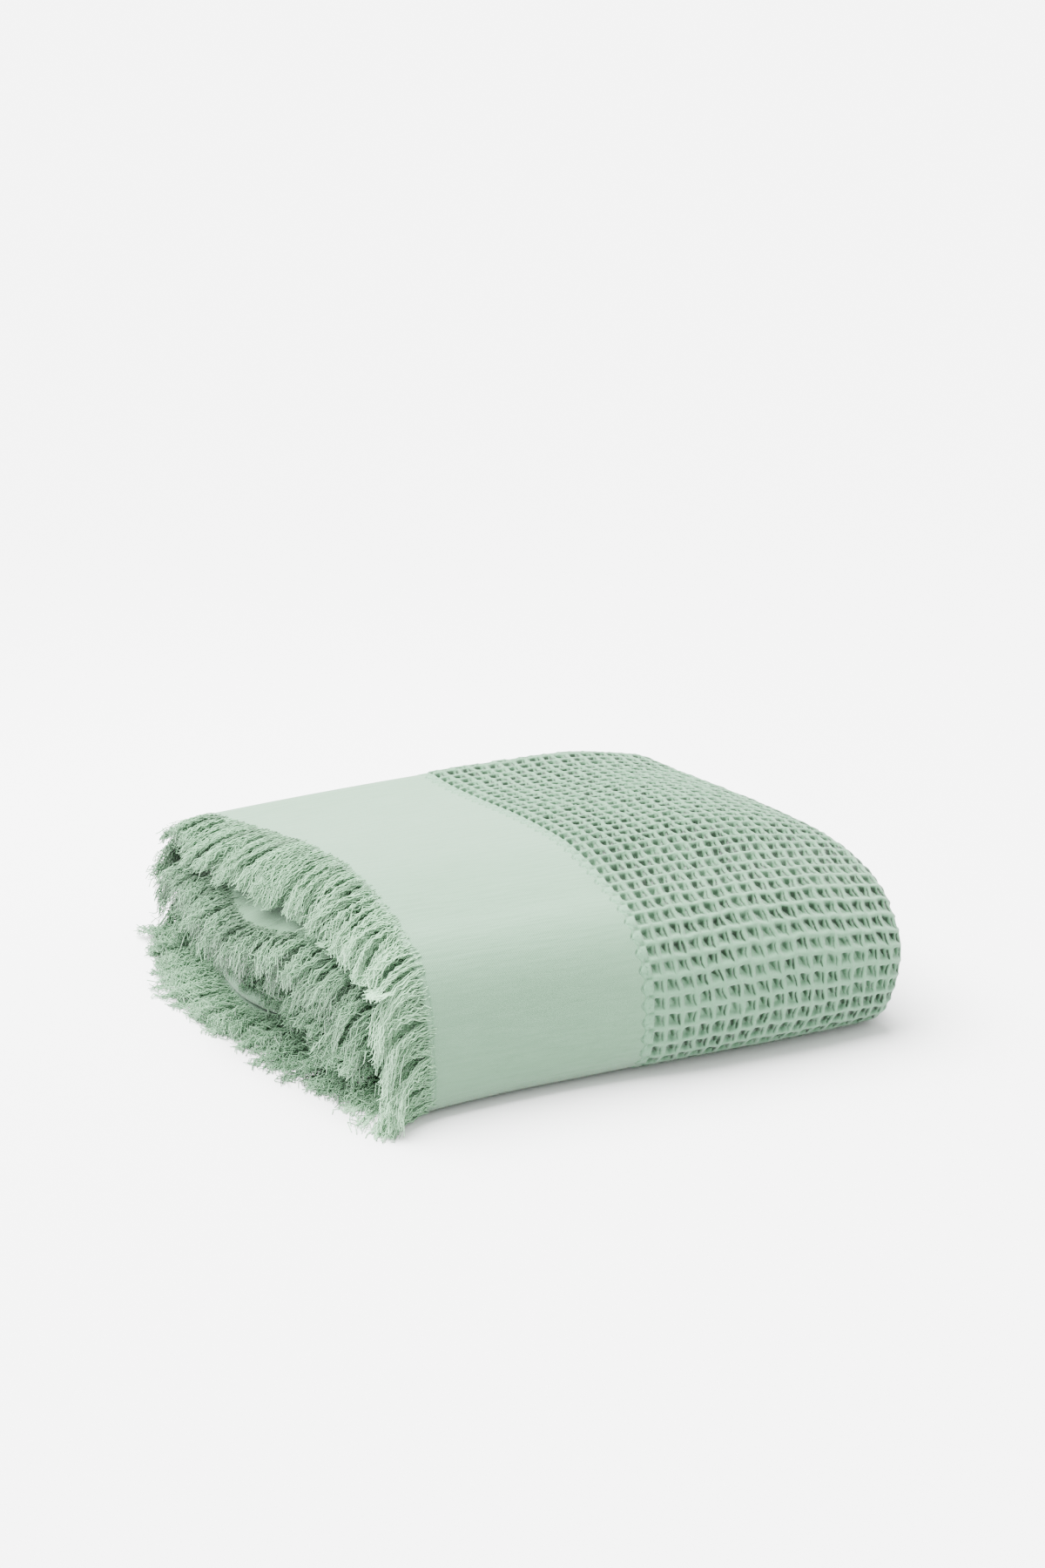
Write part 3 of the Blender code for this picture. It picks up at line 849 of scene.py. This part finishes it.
def yarn_lines(layer, start, end, yarns, draw):
    """The middle lines of a stretch of fringe, in metres, with each yarn's lock and the number of locks.

    A yarn goes out level, bends down like part of a circle and sinks by the table's hang. A lock's yarns lean
    and curl together, draw in towards its middle and spread again at their tips, with a fine crimp all along.
    Strays spread and crimp more. Some outer yarns start further in, as wisps on the cloth's face."""
    locks = max(1, round((end - start) / LOCK_PITCH))
    pitch = (end - start) / locks
    lock = np.repeat(np.arange(locks), yarns)
    count = len(lock)

    def per_lock(name):
        return draw.normal(0.0, LOCK_SPREADS[name], locks)[lock]

    def per_yarn(name):
        return draw.normal(0.0, YARN_SPREADS[name], count)

    stray = np.where(draw.random(count) < STRAY_SHARE, STRAY_MORE, 1.0)
    beside = draw.uniform(-LOCK_HALF, LOCK_HALF, count)
    root = start + (lock + 0.5 + beside) * pitch + per_lock("root")
    root = np.clip(root, ROOT_MARGIN, WRAP.length[-1] - ROOT_MARGIN)
    out = layer_height(layer) + draw.uniform(-ROOT_OUT * (1 + layer), ROOT_OUT, count)
    inside = ROOT_INSIDE + WISP_LENGTH * (1 - layer) * draw.random(count) ** 4
    out = np.where(inside > 2 * ROOT_INSIDE, layer_height(layer) + WISP_OUT, out)
    place, side, outward = yarn_frame(root, out)
    fringed = WRAP.value("fringed", root)
    sag = WRAP.value("sag", root)
    reach = WRAP.value("reach", root) * (1 - INNER_SHORTER * layer + per_lock("reach") + per_yarn("reach"))
    hang = WRAP.value("hang", root) * (1 + per_lock("hang") + per_yarn("hang")) + per_yarn("drop")
    lean = WRAP.value("lean", root) * (1 - INNER_STRAIGHTER * layer + per_lock("lean"))

    a = np.linspace(0.0, 1.0, YARN_RINGS)[None, :]
    bend = math.radians(BEND_DEGREES)
    level = np.sin(bend * a) / math.sin(bend)
    fall = (1 - np.cos(bend * a)) / (1 - math.cos(bend))
    late = a ** SPLAY_LATE
    curl = per_lock("curl")[:, None] * a + (per_lock("late_curl") + per_yarn("late_curl"))[:, None] * a ** 2
    gathered = np.sin(math.pi * np.minimum(a * GATHERED_UNTIL, 1.0))
    gather = -GATHER * (beside * pitch)[:, None] * gathered
    splay = (per_yarn("splay") * stray)[:, None] * late
    waves = 2 * math.pi * (CRIMP_TURNS + per_lock("crimp_turns") + per_yarn("crimp_turns"))[:, None] * a
    waves = waves + (per_lock("crimp_start") + per_yarn("crimp_start"))[:, None]
    crimp = (CRIMP + np.abs(per_yarn("crimp")) * stray)[:, None] * (CRIMP_AT_ROOT + CRIMP_GROWS * a)
    crimp = crimp * np.where(root < WRAP.at_row(BOTTOM_LAST_ROW), FLAT_MORE_CRIMPED, 1.0)[:, None]
    sideways = curl + gather + splay + crimp * np.sin(waves)
    across = (per_lock("across") + per_yarn("across"))[:, None] * a
    across = across + (per_yarn("splay_across") * stray)[:, None] * late
    across = across + CRIMP_OUT * crimp * np.cos(waves)

    x = (fringed + inside)[:, None] - (reach + inside)[:, None] * level
    y = place[:, :1] + side[:, :1] * sideways + outward[:, :1] * across - lean[:, None] * a ** LEAN_LATE
    z = place[:, 1:] + side[:, 1:] * sideways + outward[:, 1:] * across - hang[:, None] * fall - sag[:, None]
    row = np.interp(root, WRAP.length, WRAP.rows)[:, None]
    z = let_down(z, lowest_for(row, x, y), SOFT_LANDING, DEEPEST_LANDING)
    return settle(x, y, z), lock, locks


def tube_faces(count):
    """Three-sided tubes as triangles, closed at both ends."""
    k = np.arange(YARN_SIDES)
    after = (k + 1) % YARN_SIDES
    r = np.arange(YARN_RINGS - 1)[:, None] * YARN_SIDES
    first = np.stack([r + k, r + after, r + YARN_SIDES + after], axis=-1).reshape(-1, 3)
    second = np.stack([r + k, r + YARN_SIDES + after, r + YARN_SIDES + k], axis=-1).reshape(-1, 3)
    ends = np.array([k[::-1], k + (YARN_RINGS - 1) * YARN_SIDES])
    one = np.concatenate([first, second, ends])
    return (np.arange(count)[:, None, None] * (YARN_RINGS * YARN_SIDES) + one[None]).reshape(-1, 3)


def yarn_tones_and_painted_light(layer, first_row, lock, locks, painted_light, draw):
    """Each yarn's value: its lock's tone and its own, with painted shade on the edge that lies behind, and
    painted light and shade as the table says, at even places from the stretch's first lock to its last."""
    outer_shows = any(start <= first_row < end for start, end in OUTER_SHOWS)
    # Painted shade on the edge that lies behind the one that shows
    painted_shade_behind = PAINTED_SHADE_BEHIND if outer_shows == (layer == 1) else 0.0
    tone_and_painted_light = LOCK_SHADES * draw.random(locks)[lock] + YARN_SHADES * draw.random(len(lock)) - painted_shade_behind
    # Painted light where the table's value is above 0, painted shade where it is below
    return tone_and_painted_light + np.interp(lock, np.linspace(0, locks - 1, len(painted_light)), painted_light)


def fringe_yarns(name, layer, rows, yarns, painted_light, seed, material, node):
    """A stretch of fringe as a mesh of thin tubes round the yarns' middle lines."""
    draw = np.random.default_rng(seed)
    line, lock, locks = yarn_lines(layer, WRAP.at_row(rows[0]), WRAP.at_row(rows[1]), yarns, draw)
    count = len(lock)
    heading = np.gradient(line, axis=1)
    heading = heading / np.linalg.norm(heading, axis=-1)[..., None]
    first = np.cross(heading, np.array(ACROSS_YARNS))
    first = first / np.maximum(np.linalg.norm(first, axis=-1), TINY)[..., None]
    second = np.cross(heading, first)
    a = np.linspace(0.0, 1.0, YARN_RINGS)[None, :]
    share = draw.uniform(*YARN_THICK_SHARES, count)[:, None]
    thick = YARN_THICK / 2 * share * (1 - (1 - TIP_SHARE) * a ** 2) * MM
    angle = 2 * math.pi * np.arange(YARN_SIDES) / YARN_SIDES
    ring = first[:, :, None, :] * np.cos(angle)[None, None, :, None]
    ring = ring + second[:, :, None, :] * np.sin(angle)[None, None, :, None]
    points = line[:, :, None, :] + ring * thick[:, :, None, None]
    tone_and_painted_light = np.repeat(yarn_tones_and_painted_light(layer, rows[0], lock, locks, painted_light, draw), YARN_RINGS * YARN_SIDES)
    tip = np.broadcast_to(a[:, :, None], (count, YARN_RINGS, YARN_SIDES)).ravel()
    values = {"tone_and_painted_light": tone_and_painted_light, "tip": tip}
    thing = make_mesh(name, points.reshape(-1, 3), tube_faces(count), None, values, ring.reshape(-1, 3))
    return dress(thing, material, node)


def fringes(material_outer, material_inner):
    """Both fringes in stretches round the turns, fuller where they show."""
    edges = (
        (0, material_outer, "fringe_outer", "outer_yarn"),
        (1, material_inner, "fringe_inner", "inner_yarn"),
    )
    made = []
    for place, rows, yarns, painted_light in STRETCHES:
        for layer, material, node, slot in edges:
            name = f"{node}_{place}"
            seed = FIRST_SEED + len(made)
            made.append(fringe_yarns(name, layer, rows, yarns, painted_light, seed, material, node))
    return made


# Materials

class Signal:
    """One output of a shader node. Sums, products and other maths on signals add Math nodes."""

    def __init__(self, finish, output):
        self.finish = finish
        self.output = output

    def maths(self, operation, *values):
        return self.finish.node("ShaderNodeMath", {"operation": operation}, dict(enumerate(values)))

    def __add__(self, other):
        return self.maths("ADD", self, other)

    def __radd__(self, other):
        return self.maths("ADD", other, self)

    def __sub__(self, other):
        return self.maths("SUBTRACT", self, other)

    def __rsub__(self, other):
        return self.maths("SUBTRACT", other, self)

    def __mul__(self, other):
        return self.maths("MULTIPLY", self, other)

    def __rmul__(self, other):
        return self.maths("MULTIPLY", other, self)

    def __truediv__(self, other):
        return self.maths("DIVIDE", self, other)

    def __abs__(self):
        return self.maths("ABSOLUTE", self)

    def nearest(self):
        return self.maths("ROUND", self)

    def sine(self):
        return self.maths("SINE", self)

    def between(self, low, high):
        """0 below low, 1 above high, and a smooth rise between."""
        settings = {"interpolation_type": "SMOOTHSTEP"}
        return self.finish.node("ShaderNodeMapRange", settings, {0: self, 1: low, 2: high, 3: 0.0, 4: 1.0})

    def near(self, middle, width):
        """1 at the middle, falling smoothly to 0 at the width on both sides."""
        return 1 - abs(self - middle).between(0.0, width)


class Finish:
    """A material in the making: node() adds any node, and join() sets or links a socket."""

    def __init__(self, name):
        self.material = bpy.data.materials.new(name)
        self.material.use_nodes = True
        self.tree = self.material.node_tree
        self.shader = self.tree.nodes["Principled BSDF"]

    def join(self, socket, value):
        if isinstance(value, Signal):
            self.tree.links.new(value.output, socket)
        else:
            socket.default_value = value

    def node(self, kind, settings, values, output=0):
        made = self.tree.nodes.new(kind)
        for name, value in settings.items():
            setattr(made, name, value)
        for name, value in values.items():
            self.join(made.inputs[name], value)
        return Signal(self, made.outputs[output])

    def blend(self, share, first, second):
        """A colour mix: first at 0, second at 1."""
        settings = {"data_type": "RGBA", "clamp_factor": True}
        return self.node("ShaderNodeMix", settings, {0: share, 6: first, 7: second}, 2)

    def lattice(self):
        """The weave's own coordinates: cells along the length, and rows round the turns."""
        uv = self.node("ShaderNodeUVMap", {"uv_map": "weave"}, {})
        u = self.node("ShaderNodeSeparateXYZ", {}, {0: uv}, 0)
        v = self.node("ShaderNodeSeparateXYZ", {}, {0: uv}, 1)
        return uv, u, v

    def value(self, name):
        return self.node("ShaderNodeAttribute", {"attribute_name": name}, {}, 2)

    def noise(self, where, scale, detail=2.0):
        return self.node("ShaderNodeTexNoise", {}, {"Vector": where, "Scale": scale, "Detail": detail})

    def chance(self, u, v):
        """A random number for each cell."""
        where = self.vector(u.nearest(), v.nearest(), 0.0)
        return self.node("ShaderNodeTexWhiteNoise", {"noise_dimensions": "2D"}, {"Vector": where})

    def vector(self, x, y, z):
        return self.node("ShaderNodeCombineXYZ", {}, {0: x, 1: y, 2: z})

    def bump(self, height, distance):
        return self.node("ShaderNodeBump", {}, {"Height": height, "Distance": distance, "Strength": 1.0})

    def cotton(self, colour, normal, roughness, sheen):
        """Dull cotton: the colour and the bump vary, roughness and sheen are the same all over."""
        self.join(self.shader.inputs["Base Color"], colour)
        self.join(self.shader.inputs["Normal"], normal)
        self.shader.inputs["Roughness"].default_value = roughness
        self.shader.inputs["Sheen Weight"].default_value = sheen
        self.shader.inputs["Sheen Roughness"].default_value = 0.5
        self.shader.inputs["Specular IOR Level"].default_value = 0.15
        return self.material


# The cloth's and the yarns' colours, then the cloth's fine structure, and last the painted shade in the pits,
# as marks: where a mark starts and ends in shares of a cell, and how dark it is

SAGE_RIDGE = (0.113, 0.236, 0.143, 1.0)
# Darker sage: painted shade on pit floors, on the top, between puffs, along the scalloped line and under the
# fringe, and also the darker tone of fuzz and specks and the darker hem line
SAGE_SHADE_AND_TONE = (0.070, 0.160, 0.089, 1.0)
# Painted shade deep in the pits
SAGE_PIT_SHADE = (0.010, 0.029, 0.013, 1.0)
SAGE_BAND = (0.116, 0.216, 0.136, 1.0)
SAGE_BAND_DEEP = (0.099, 0.192, 0.117, 1.0)
# The yarns' colours from deep to pale: the pale end also serves as painted light and the deep end as painted
# shade, and the deepest is also painted shadow on the cloth under the fringe
YARN_PALE = (0.225, 0.430, 0.250, 1.0)
YARN_LIGHT = (0.146, 0.306, 0.166, 1.0)
YARN_MIDDLE = (0.092, 0.215, 0.108, 1.0)
YARN_DEEP = (0.026, 0.075, 0.032, 1.0)
TWILL_PITCH = 1.3
THREADS_TO_A_CELL = 9.0
UNEVEN_LINES = 0.12
CLOTH_BUMP = 0.0005
YARN_BUMP = 0.0004
HEM_SHADE = 0.9
# How far from the edge the painted shadow under the fringe reaches
FRINGE_SHADOW_REACH = 60.0
UPPER_LAYERS_ROW = -74.0
TOP_ROWS_FROM = (-4.0, 4.0)
MARK_LEFT = (-0.04, 0.07)
MARK_RIGHT = (0.09, 0.20)
MARK_SHIFT = 0.08
MARK_TOP = (-0.37, -0.27)
MARK_TOP_HIGHER = (0.10, 0.08)
MARK_FOOT = 0.28
MARK_FOOT_SHIFT = 0.14
MARK_SLIT_WIDE = 0.07
MARK_SLIT_WIDER = 0.04
MARK_SLIT_LEAN = 0.05
MARK_SLIT_TALL = 0.45
WEDGE_DARK = 1.15
SLIT_DARK = 1.25
DIAMOND_WIDE = 0.60
DIAMOND_ROWS = (3.6, 6.0)
DIAMOND_DARK = 0.85
PIT_FLOOR_AT = 0.12
PIT_FLOOR_WIDE = 0.34
PIT_FLOOR_TALL = 0.42
PIT_FLOOR_DARK = 0.12
MARKS_MEAN = 0.50
MARKS_WHERE_OPEN = 0.35
MARKS_BY_CELL = 0.45
MARKS_ON_TOP = 0.22
MARKS_LESS_ON_SHOULDER = 0.16
SHOULDER_AT = -5.0
SHOULDER_WIDE = 8.0
MARKS_BY_BAND = 0.55


def painted_pit_shade(made, u, v, p, q, on_top):
    """How much painted shade each pit gets: a wedge under the ridge above, from its upper left to its middle,
    a thin slit at its right, and low on the front a diamond. The marks differ by cell, grow where the weave
    is open and on the top, and fade on the shoulder and beside the band."""
    cell = made.chance(u, v)
    shift = made.chance(v, u) - 0.5
    open_here = made.noise(made.vector(u, v, 9.1), 0.22, 1.0).between(0.25, 0.7)
    wedge = (p - WEDGE_SLANT * q - MARK_SHIFT * shift).between(*MARK_LEFT) * (1 - p.between(*MARK_RIGHT))
    top_start, top_end = [place - higher * on_top for place, higher in zip(MARK_TOP, MARK_TOP_HIGHER)]
    wedge = wedge * q.between(top_start, top_end)
    wedge = wedge * (1 - q.between(0.0, MARK_FOOT + MARK_FOOT_SHIFT * shift))
    slit = (p - SLIT_AT - MARK_SLIT_LEAN * q).near(0.0, MARK_SLIT_WIDE + MARK_SLIT_WIDER * cell)
    slit = slit * q.near(0.0, MARK_SLIT_TALL).between(0.0, 0.35)
    diamond = (abs(p) + abs(q)).near(0.0, DIAMOND_WIDE) * v.between(*DIAMOND_ROWS)
    strength = MARKS_MEAN + MARKS_WHERE_OPEN * open_here + MARKS_BY_CELL * (cell - 0.5)
    strength = strength + MARKS_ON_TOP * on_top
    strength = strength - MARKS_LESS_ON_SHOULDER * v.near(SHOULDER_AT, SHOULDER_WIDE)
    strength = strength * (MARKS_BY_BAND + (1 - MARKS_BY_BAND) * u.between(-1.5, 1.0))
    return (WEDGE_DARK * wedge + SLIT_DARK * slit) * strength + DIAMOND_DARK * diamond


def waffle_colour(made, u, v, p, q, on_top, fuzz):
    """Light ridges with darker fuzz, and pits with painted shade: darker on their floor, less on the thread
    of the weave that lies across each pit, and darkest in the marks. On the top, painted shade lies all over.
    """
    floor = (p - PIT_FLOOR_AT).near(0.0, PIT_FLOOR_WIDE) * q.near(0.0, PIT_FLOOR_TALL)
    thread = p.near(THREAD_AT, 0.11) * (1 - q.between(*THREAD_END))
    # Painted shade: the pits' marks, and on the top more on the pit floors
    pit_shade = painted_pit_shade(made, u, v, p, q, on_top) + PIT_FLOOR_DARK * floor * on_top
    # Painted shade on the pit floors, less on the thread, and over the whole top
    side = made.blend(floor * (1.3 - 0.8 * thread) + on_top * 0.8, SAGE_RIDGE, SAGE_SHADE_AND_TONE)
    # The fuzz's darker tone
    side = made.blend(fuzz.between(0.45, 0.75) * 0.45, side, SAGE_SHADE_AND_TONE)
    return made.blend(pit_shade, side, SAGE_PIT_SHADE)


def band_colour(made, uv, v, streaks):
    """Fine streaks of thread, darker along the hem line, and painted shadow inside the stack by the fringe,
    where the fringe above hangs over the cloth.
    """
    broad = made.noise(uv, 0.35, 2.0)
    colour = made.blend(streaks * 0.6 + broad * 0.4, SAGE_BAND_DEEP, SAGE_BAND)
    from_edge = made.value("from_edge")
    hem = from_edge.near(HEM_WIDE, HEM_SHADE) * 0.5
    # Painted shadow under the overhanging fringe, on the cloth near its edge inside the stack
    inside = 1 - v.between(UPPER_LAYERS_ROW, UPPER_LAYERS_ROW + 4.0)
    fringe_shadow = inside * (1 - from_edge.between(0.0, FRINGE_SHADOW_REACH))
    colour = made.blend(hem + fringe_shadow, colour, SAGE_SHADE_AND_TONE)
    return made.blend(fringe_shadow * 0.7, colour, YARN_DEEP)


def puff_colour(made, uv, q, on_top, first_column):
    """The puffs of the first column: darker specks, and painted shade between one puff and the next and on
    the top.
    """
    shade_between_puffs = first_column * abs(q).near(0.5, 0.12)
    specks = made.noise(uv, 5.5, 2.0).between(0.56, 0.74)
    # Painted shade between the puffs and on the top, with darker specks of tone
    return made.blend(shade_between_puffs * 0.8 + specks * 1.3 + on_top * 0.3, SAGE_RIDGE, SAGE_SHADE_AND_TONE)


def cloth_finish():
    """The sheet: the band's fine twill up to the scalloped line, with a painted shadow line along it, then
    the column of puffs and the waffle.
    """
    made = Finish("sage_cotton_weave")
    uv, u, v = made.lattice()
    wavy_u = u + UNEVEN_LINES * (made.noise(uv, 1.7, 2.0) - 0.5)
    wavy_v = v + UNEVEN_LINES * (made.noise(made.vector(v, u, 3.7), 1.7, 2.0) - 0.5)
    p = wavy_u - u.nearest()
    q = wavy_v - v.nearest()
    on_top = 1 - v.between(*TOP_ROWS_FROM)
    fuzz = made.noise(uv, 14.0, 3.0)
    streaks = made.noise(made.vector(u * 0.3, v * 3.0, 0.0), 1.3, 4.0).between(0.3, 0.7)

    line = (BAND_END - SCALLOP * (q * (2 * math.pi) + math.pi / 2).sine()) / CELL_LENGTH
    past_line = wavy_u - line
    on_waffle = past_line.between(-0.02, 0.06)
    # A painted shadow line along the scalloped line
    shadow_line = past_line.near(0.0, 0.07)
    first_column = past_line.between(0.0, 0.05) * (1 - wavy_u.between(-1.30, -1.12))
    band = band_colour(made, uv, v, streaks)
    waffle = waffle_colour(made, u, v, p, q, on_top, fuzz)
    puffs = puff_colour(made, uv, q, on_top, first_column)
    colour = made.blend(on_waffle, band, waffle)
    colour = made.blend(shadow_line * 0.95, colour, SAGE_SHADE_AND_TONE)
    colour = made.blend(first_column, colour, puffs)

    twill = ((u * CELL_LENGTH + v * CELL_ROUND) * (2 * math.pi / TWILL_PITCH)).sine()
    threads_long = (v * (2 * math.pi * THREADS_TO_A_CELL)).sine()
    threads_round = (u * (2 * math.pi * THREADS_TO_A_CELL)).sine()
    waffle_height = 0.14 * threads_long * threads_round + 1.1 * fuzz
    band_height = 0.12 * twill + 0.25 * fuzz + 0.25 * streaks
    height = band_height * (1 - on_waffle) + waffle_height * on_waffle
    return made.cotton(colour, made.bump(height, CLOTH_BUMP), roughness=0.9, sheen=0.25)


def yarn_finish(name):
    """Loose yarn: each lock its own tone with its painted light and shade, painted shade deeper at the roots
    and painted light at the fuzzy tips.
    """
    made = Finish(name)
    tone_and_painted_light = made.value("tone_and_painted_light")
    tip = made.value("tip")
    where = made.node("ShaderNodeTexCoord", {}, {}, 3)
    fleck = made.noise(where, 420.0, 3.0)
    # Painted shade towards the roots and painted light towards the tips, on top of each yarn's tone
    share = 0.05 + 0.70 * tone_and_painted_light + 0.45 * tip.between(0.0, 0.8) + 0.8 * (fleck - 0.5)
    colour = made.blend(share.between(0.0, 0.5), YARN_DEEP, YARN_MIDDLE)
    colour = made.blend(share.between(0.45, 1.05), colour, YARN_LIGHT)
    colour = made.blend(share.between(1.00, 1.60), colour, YARN_PALE)
    return made.cotton(colour, made.bump(fleck, YARN_BUMP), roughness=0.85, sheen=0.3)


FLOOR_PALE = (0.74, 0.74, 0.74, 1.0)
FLOOR_HALF = 12.0


def floor_finish():
    made = Finish("pale_floor")
    made.shader.inputs["Base Color"].default_value = FLOOR_PALE
    made.shader.inputs["Roughness"].default_value = 0.75
    made.shader.inputs["Specular IOR Level"].default_value = 0.2
    return made.material


# Camera, floor and light

def aim():
    """The camera's axes: right, up, and back towards the viewer, with no roll."""
    azimuth = math.radians(VIEW_AZIMUTH)
    elevation = math.radians(VIEW_ELEVATION)
    back = Vector((math.sin(azimuth) * math.cos(elevation), -math.cos(azimuth) * math.cos(elevation),
                   math.sin(elevation)))
    right = Vector((math.cos(azimuth), math.sin(azimuth), 0.0))
    return right, back.cross(right), back


def add_camera():
    right, up, back = aim()
    eye = back * VIEW_DISTANCE + right * VIEW_ASIDE + up * VIEW_UP
    eye = (eye - Vector((ORIGIN_X, ORIGIN_Y, 0.0))) * MM
    data = bpy.data.cameras.new("camera")
    data.lens = LENS
    data.sensor_width = SENSOR
    data.clip_end = VIEW_FAR
    camera = bpy.data.objects.new("camera", data)
    turn = Matrix((right, up, back)).transposed().to_4x4()
    camera.matrix_world = Matrix.Translation(eye) @ turn
    bpy.context.scene.collection.objects.link(camera)
    bpy.context.scene.camera = camera


def add_floor():
    half = FLOOR_HALF
    points = np.array([[-half, -half, 0.0], [half, -half, 0.0], [half, half, 0.0], [-half, half, 0.0]])
    floor = make_mesh("floor", points, np.array([[0, 1, 2, 3]]))
    floor.data.materials.append(floor_finish())


SUN_POWER = 24.0
SUN_WIDE = 62.0
SUN_TILT = 24.0
SUN_FROM = 130.0
SUN_PLACE = (0.0, 0.0, 3.0)
SKY_POWER = 2.2
BACK_PLACE = (-0.1, 0.42, 0.55)
BACK_AIM = (0.0, 0.08, 0.08)
BACK_SIZE = 0.5
BACK_POWER = 6.0


def add_lamp(name, kind, power, place, turn):
    light = bpy.data.lights.new(name, kind)
    light.energy = power
    lamp = bpy.data.objects.new(name, light)
    lamp.matrix_world = Matrix.Translation(place) @ turn
    bpy.context.scene.collection.objects.link(lamp)
    return light


def add_light():
    """One very wide overhead light, a soft panel over the back, and a weak even sky."""
    world = bpy.data.worlds.new("studio")
    world.use_nodes = True
    sky = world.node_tree.nodes["Background"]
    sky.inputs["Color"].default_value = (1.0, 1.0, 1.0, 1.0)
    sky.inputs["Strength"].default_value = SKY_POWER
    bpy.context.scene.world = world
    turn = Matrix.Rotation(math.radians(SUN_FROM), 4, "Z") @ Matrix.Rotation(math.radians(SUN_TILT), 4, "Y")
    overhead = add_lamp("overhead", "SUN", SUN_POWER, SUN_PLACE, turn)
    overhead.angle = math.radians(SUN_WIDE)
    towards = Vector(BACK_AIM) - Vector(BACK_PLACE)
    turn = towards.to_track_quat("-Z", "Y").to_matrix().to_4x4()
    panel = add_lamp("back_panel", "AREA", BACK_POWER, BACK_PLACE, turn)
    panel.size = BACK_SIZE


def main():
    add_camera()
    cotton = cloth_finish()
    core = cloth_core(cotton)
    faces = [*visible_faces(cotton), folded_ends(cotton)]
    yarns = fringes(yarn_finish("outer_yarn_finish"), yarn_finish("inner_yarn_finish"))
    add_floor()
    add_light()


main()
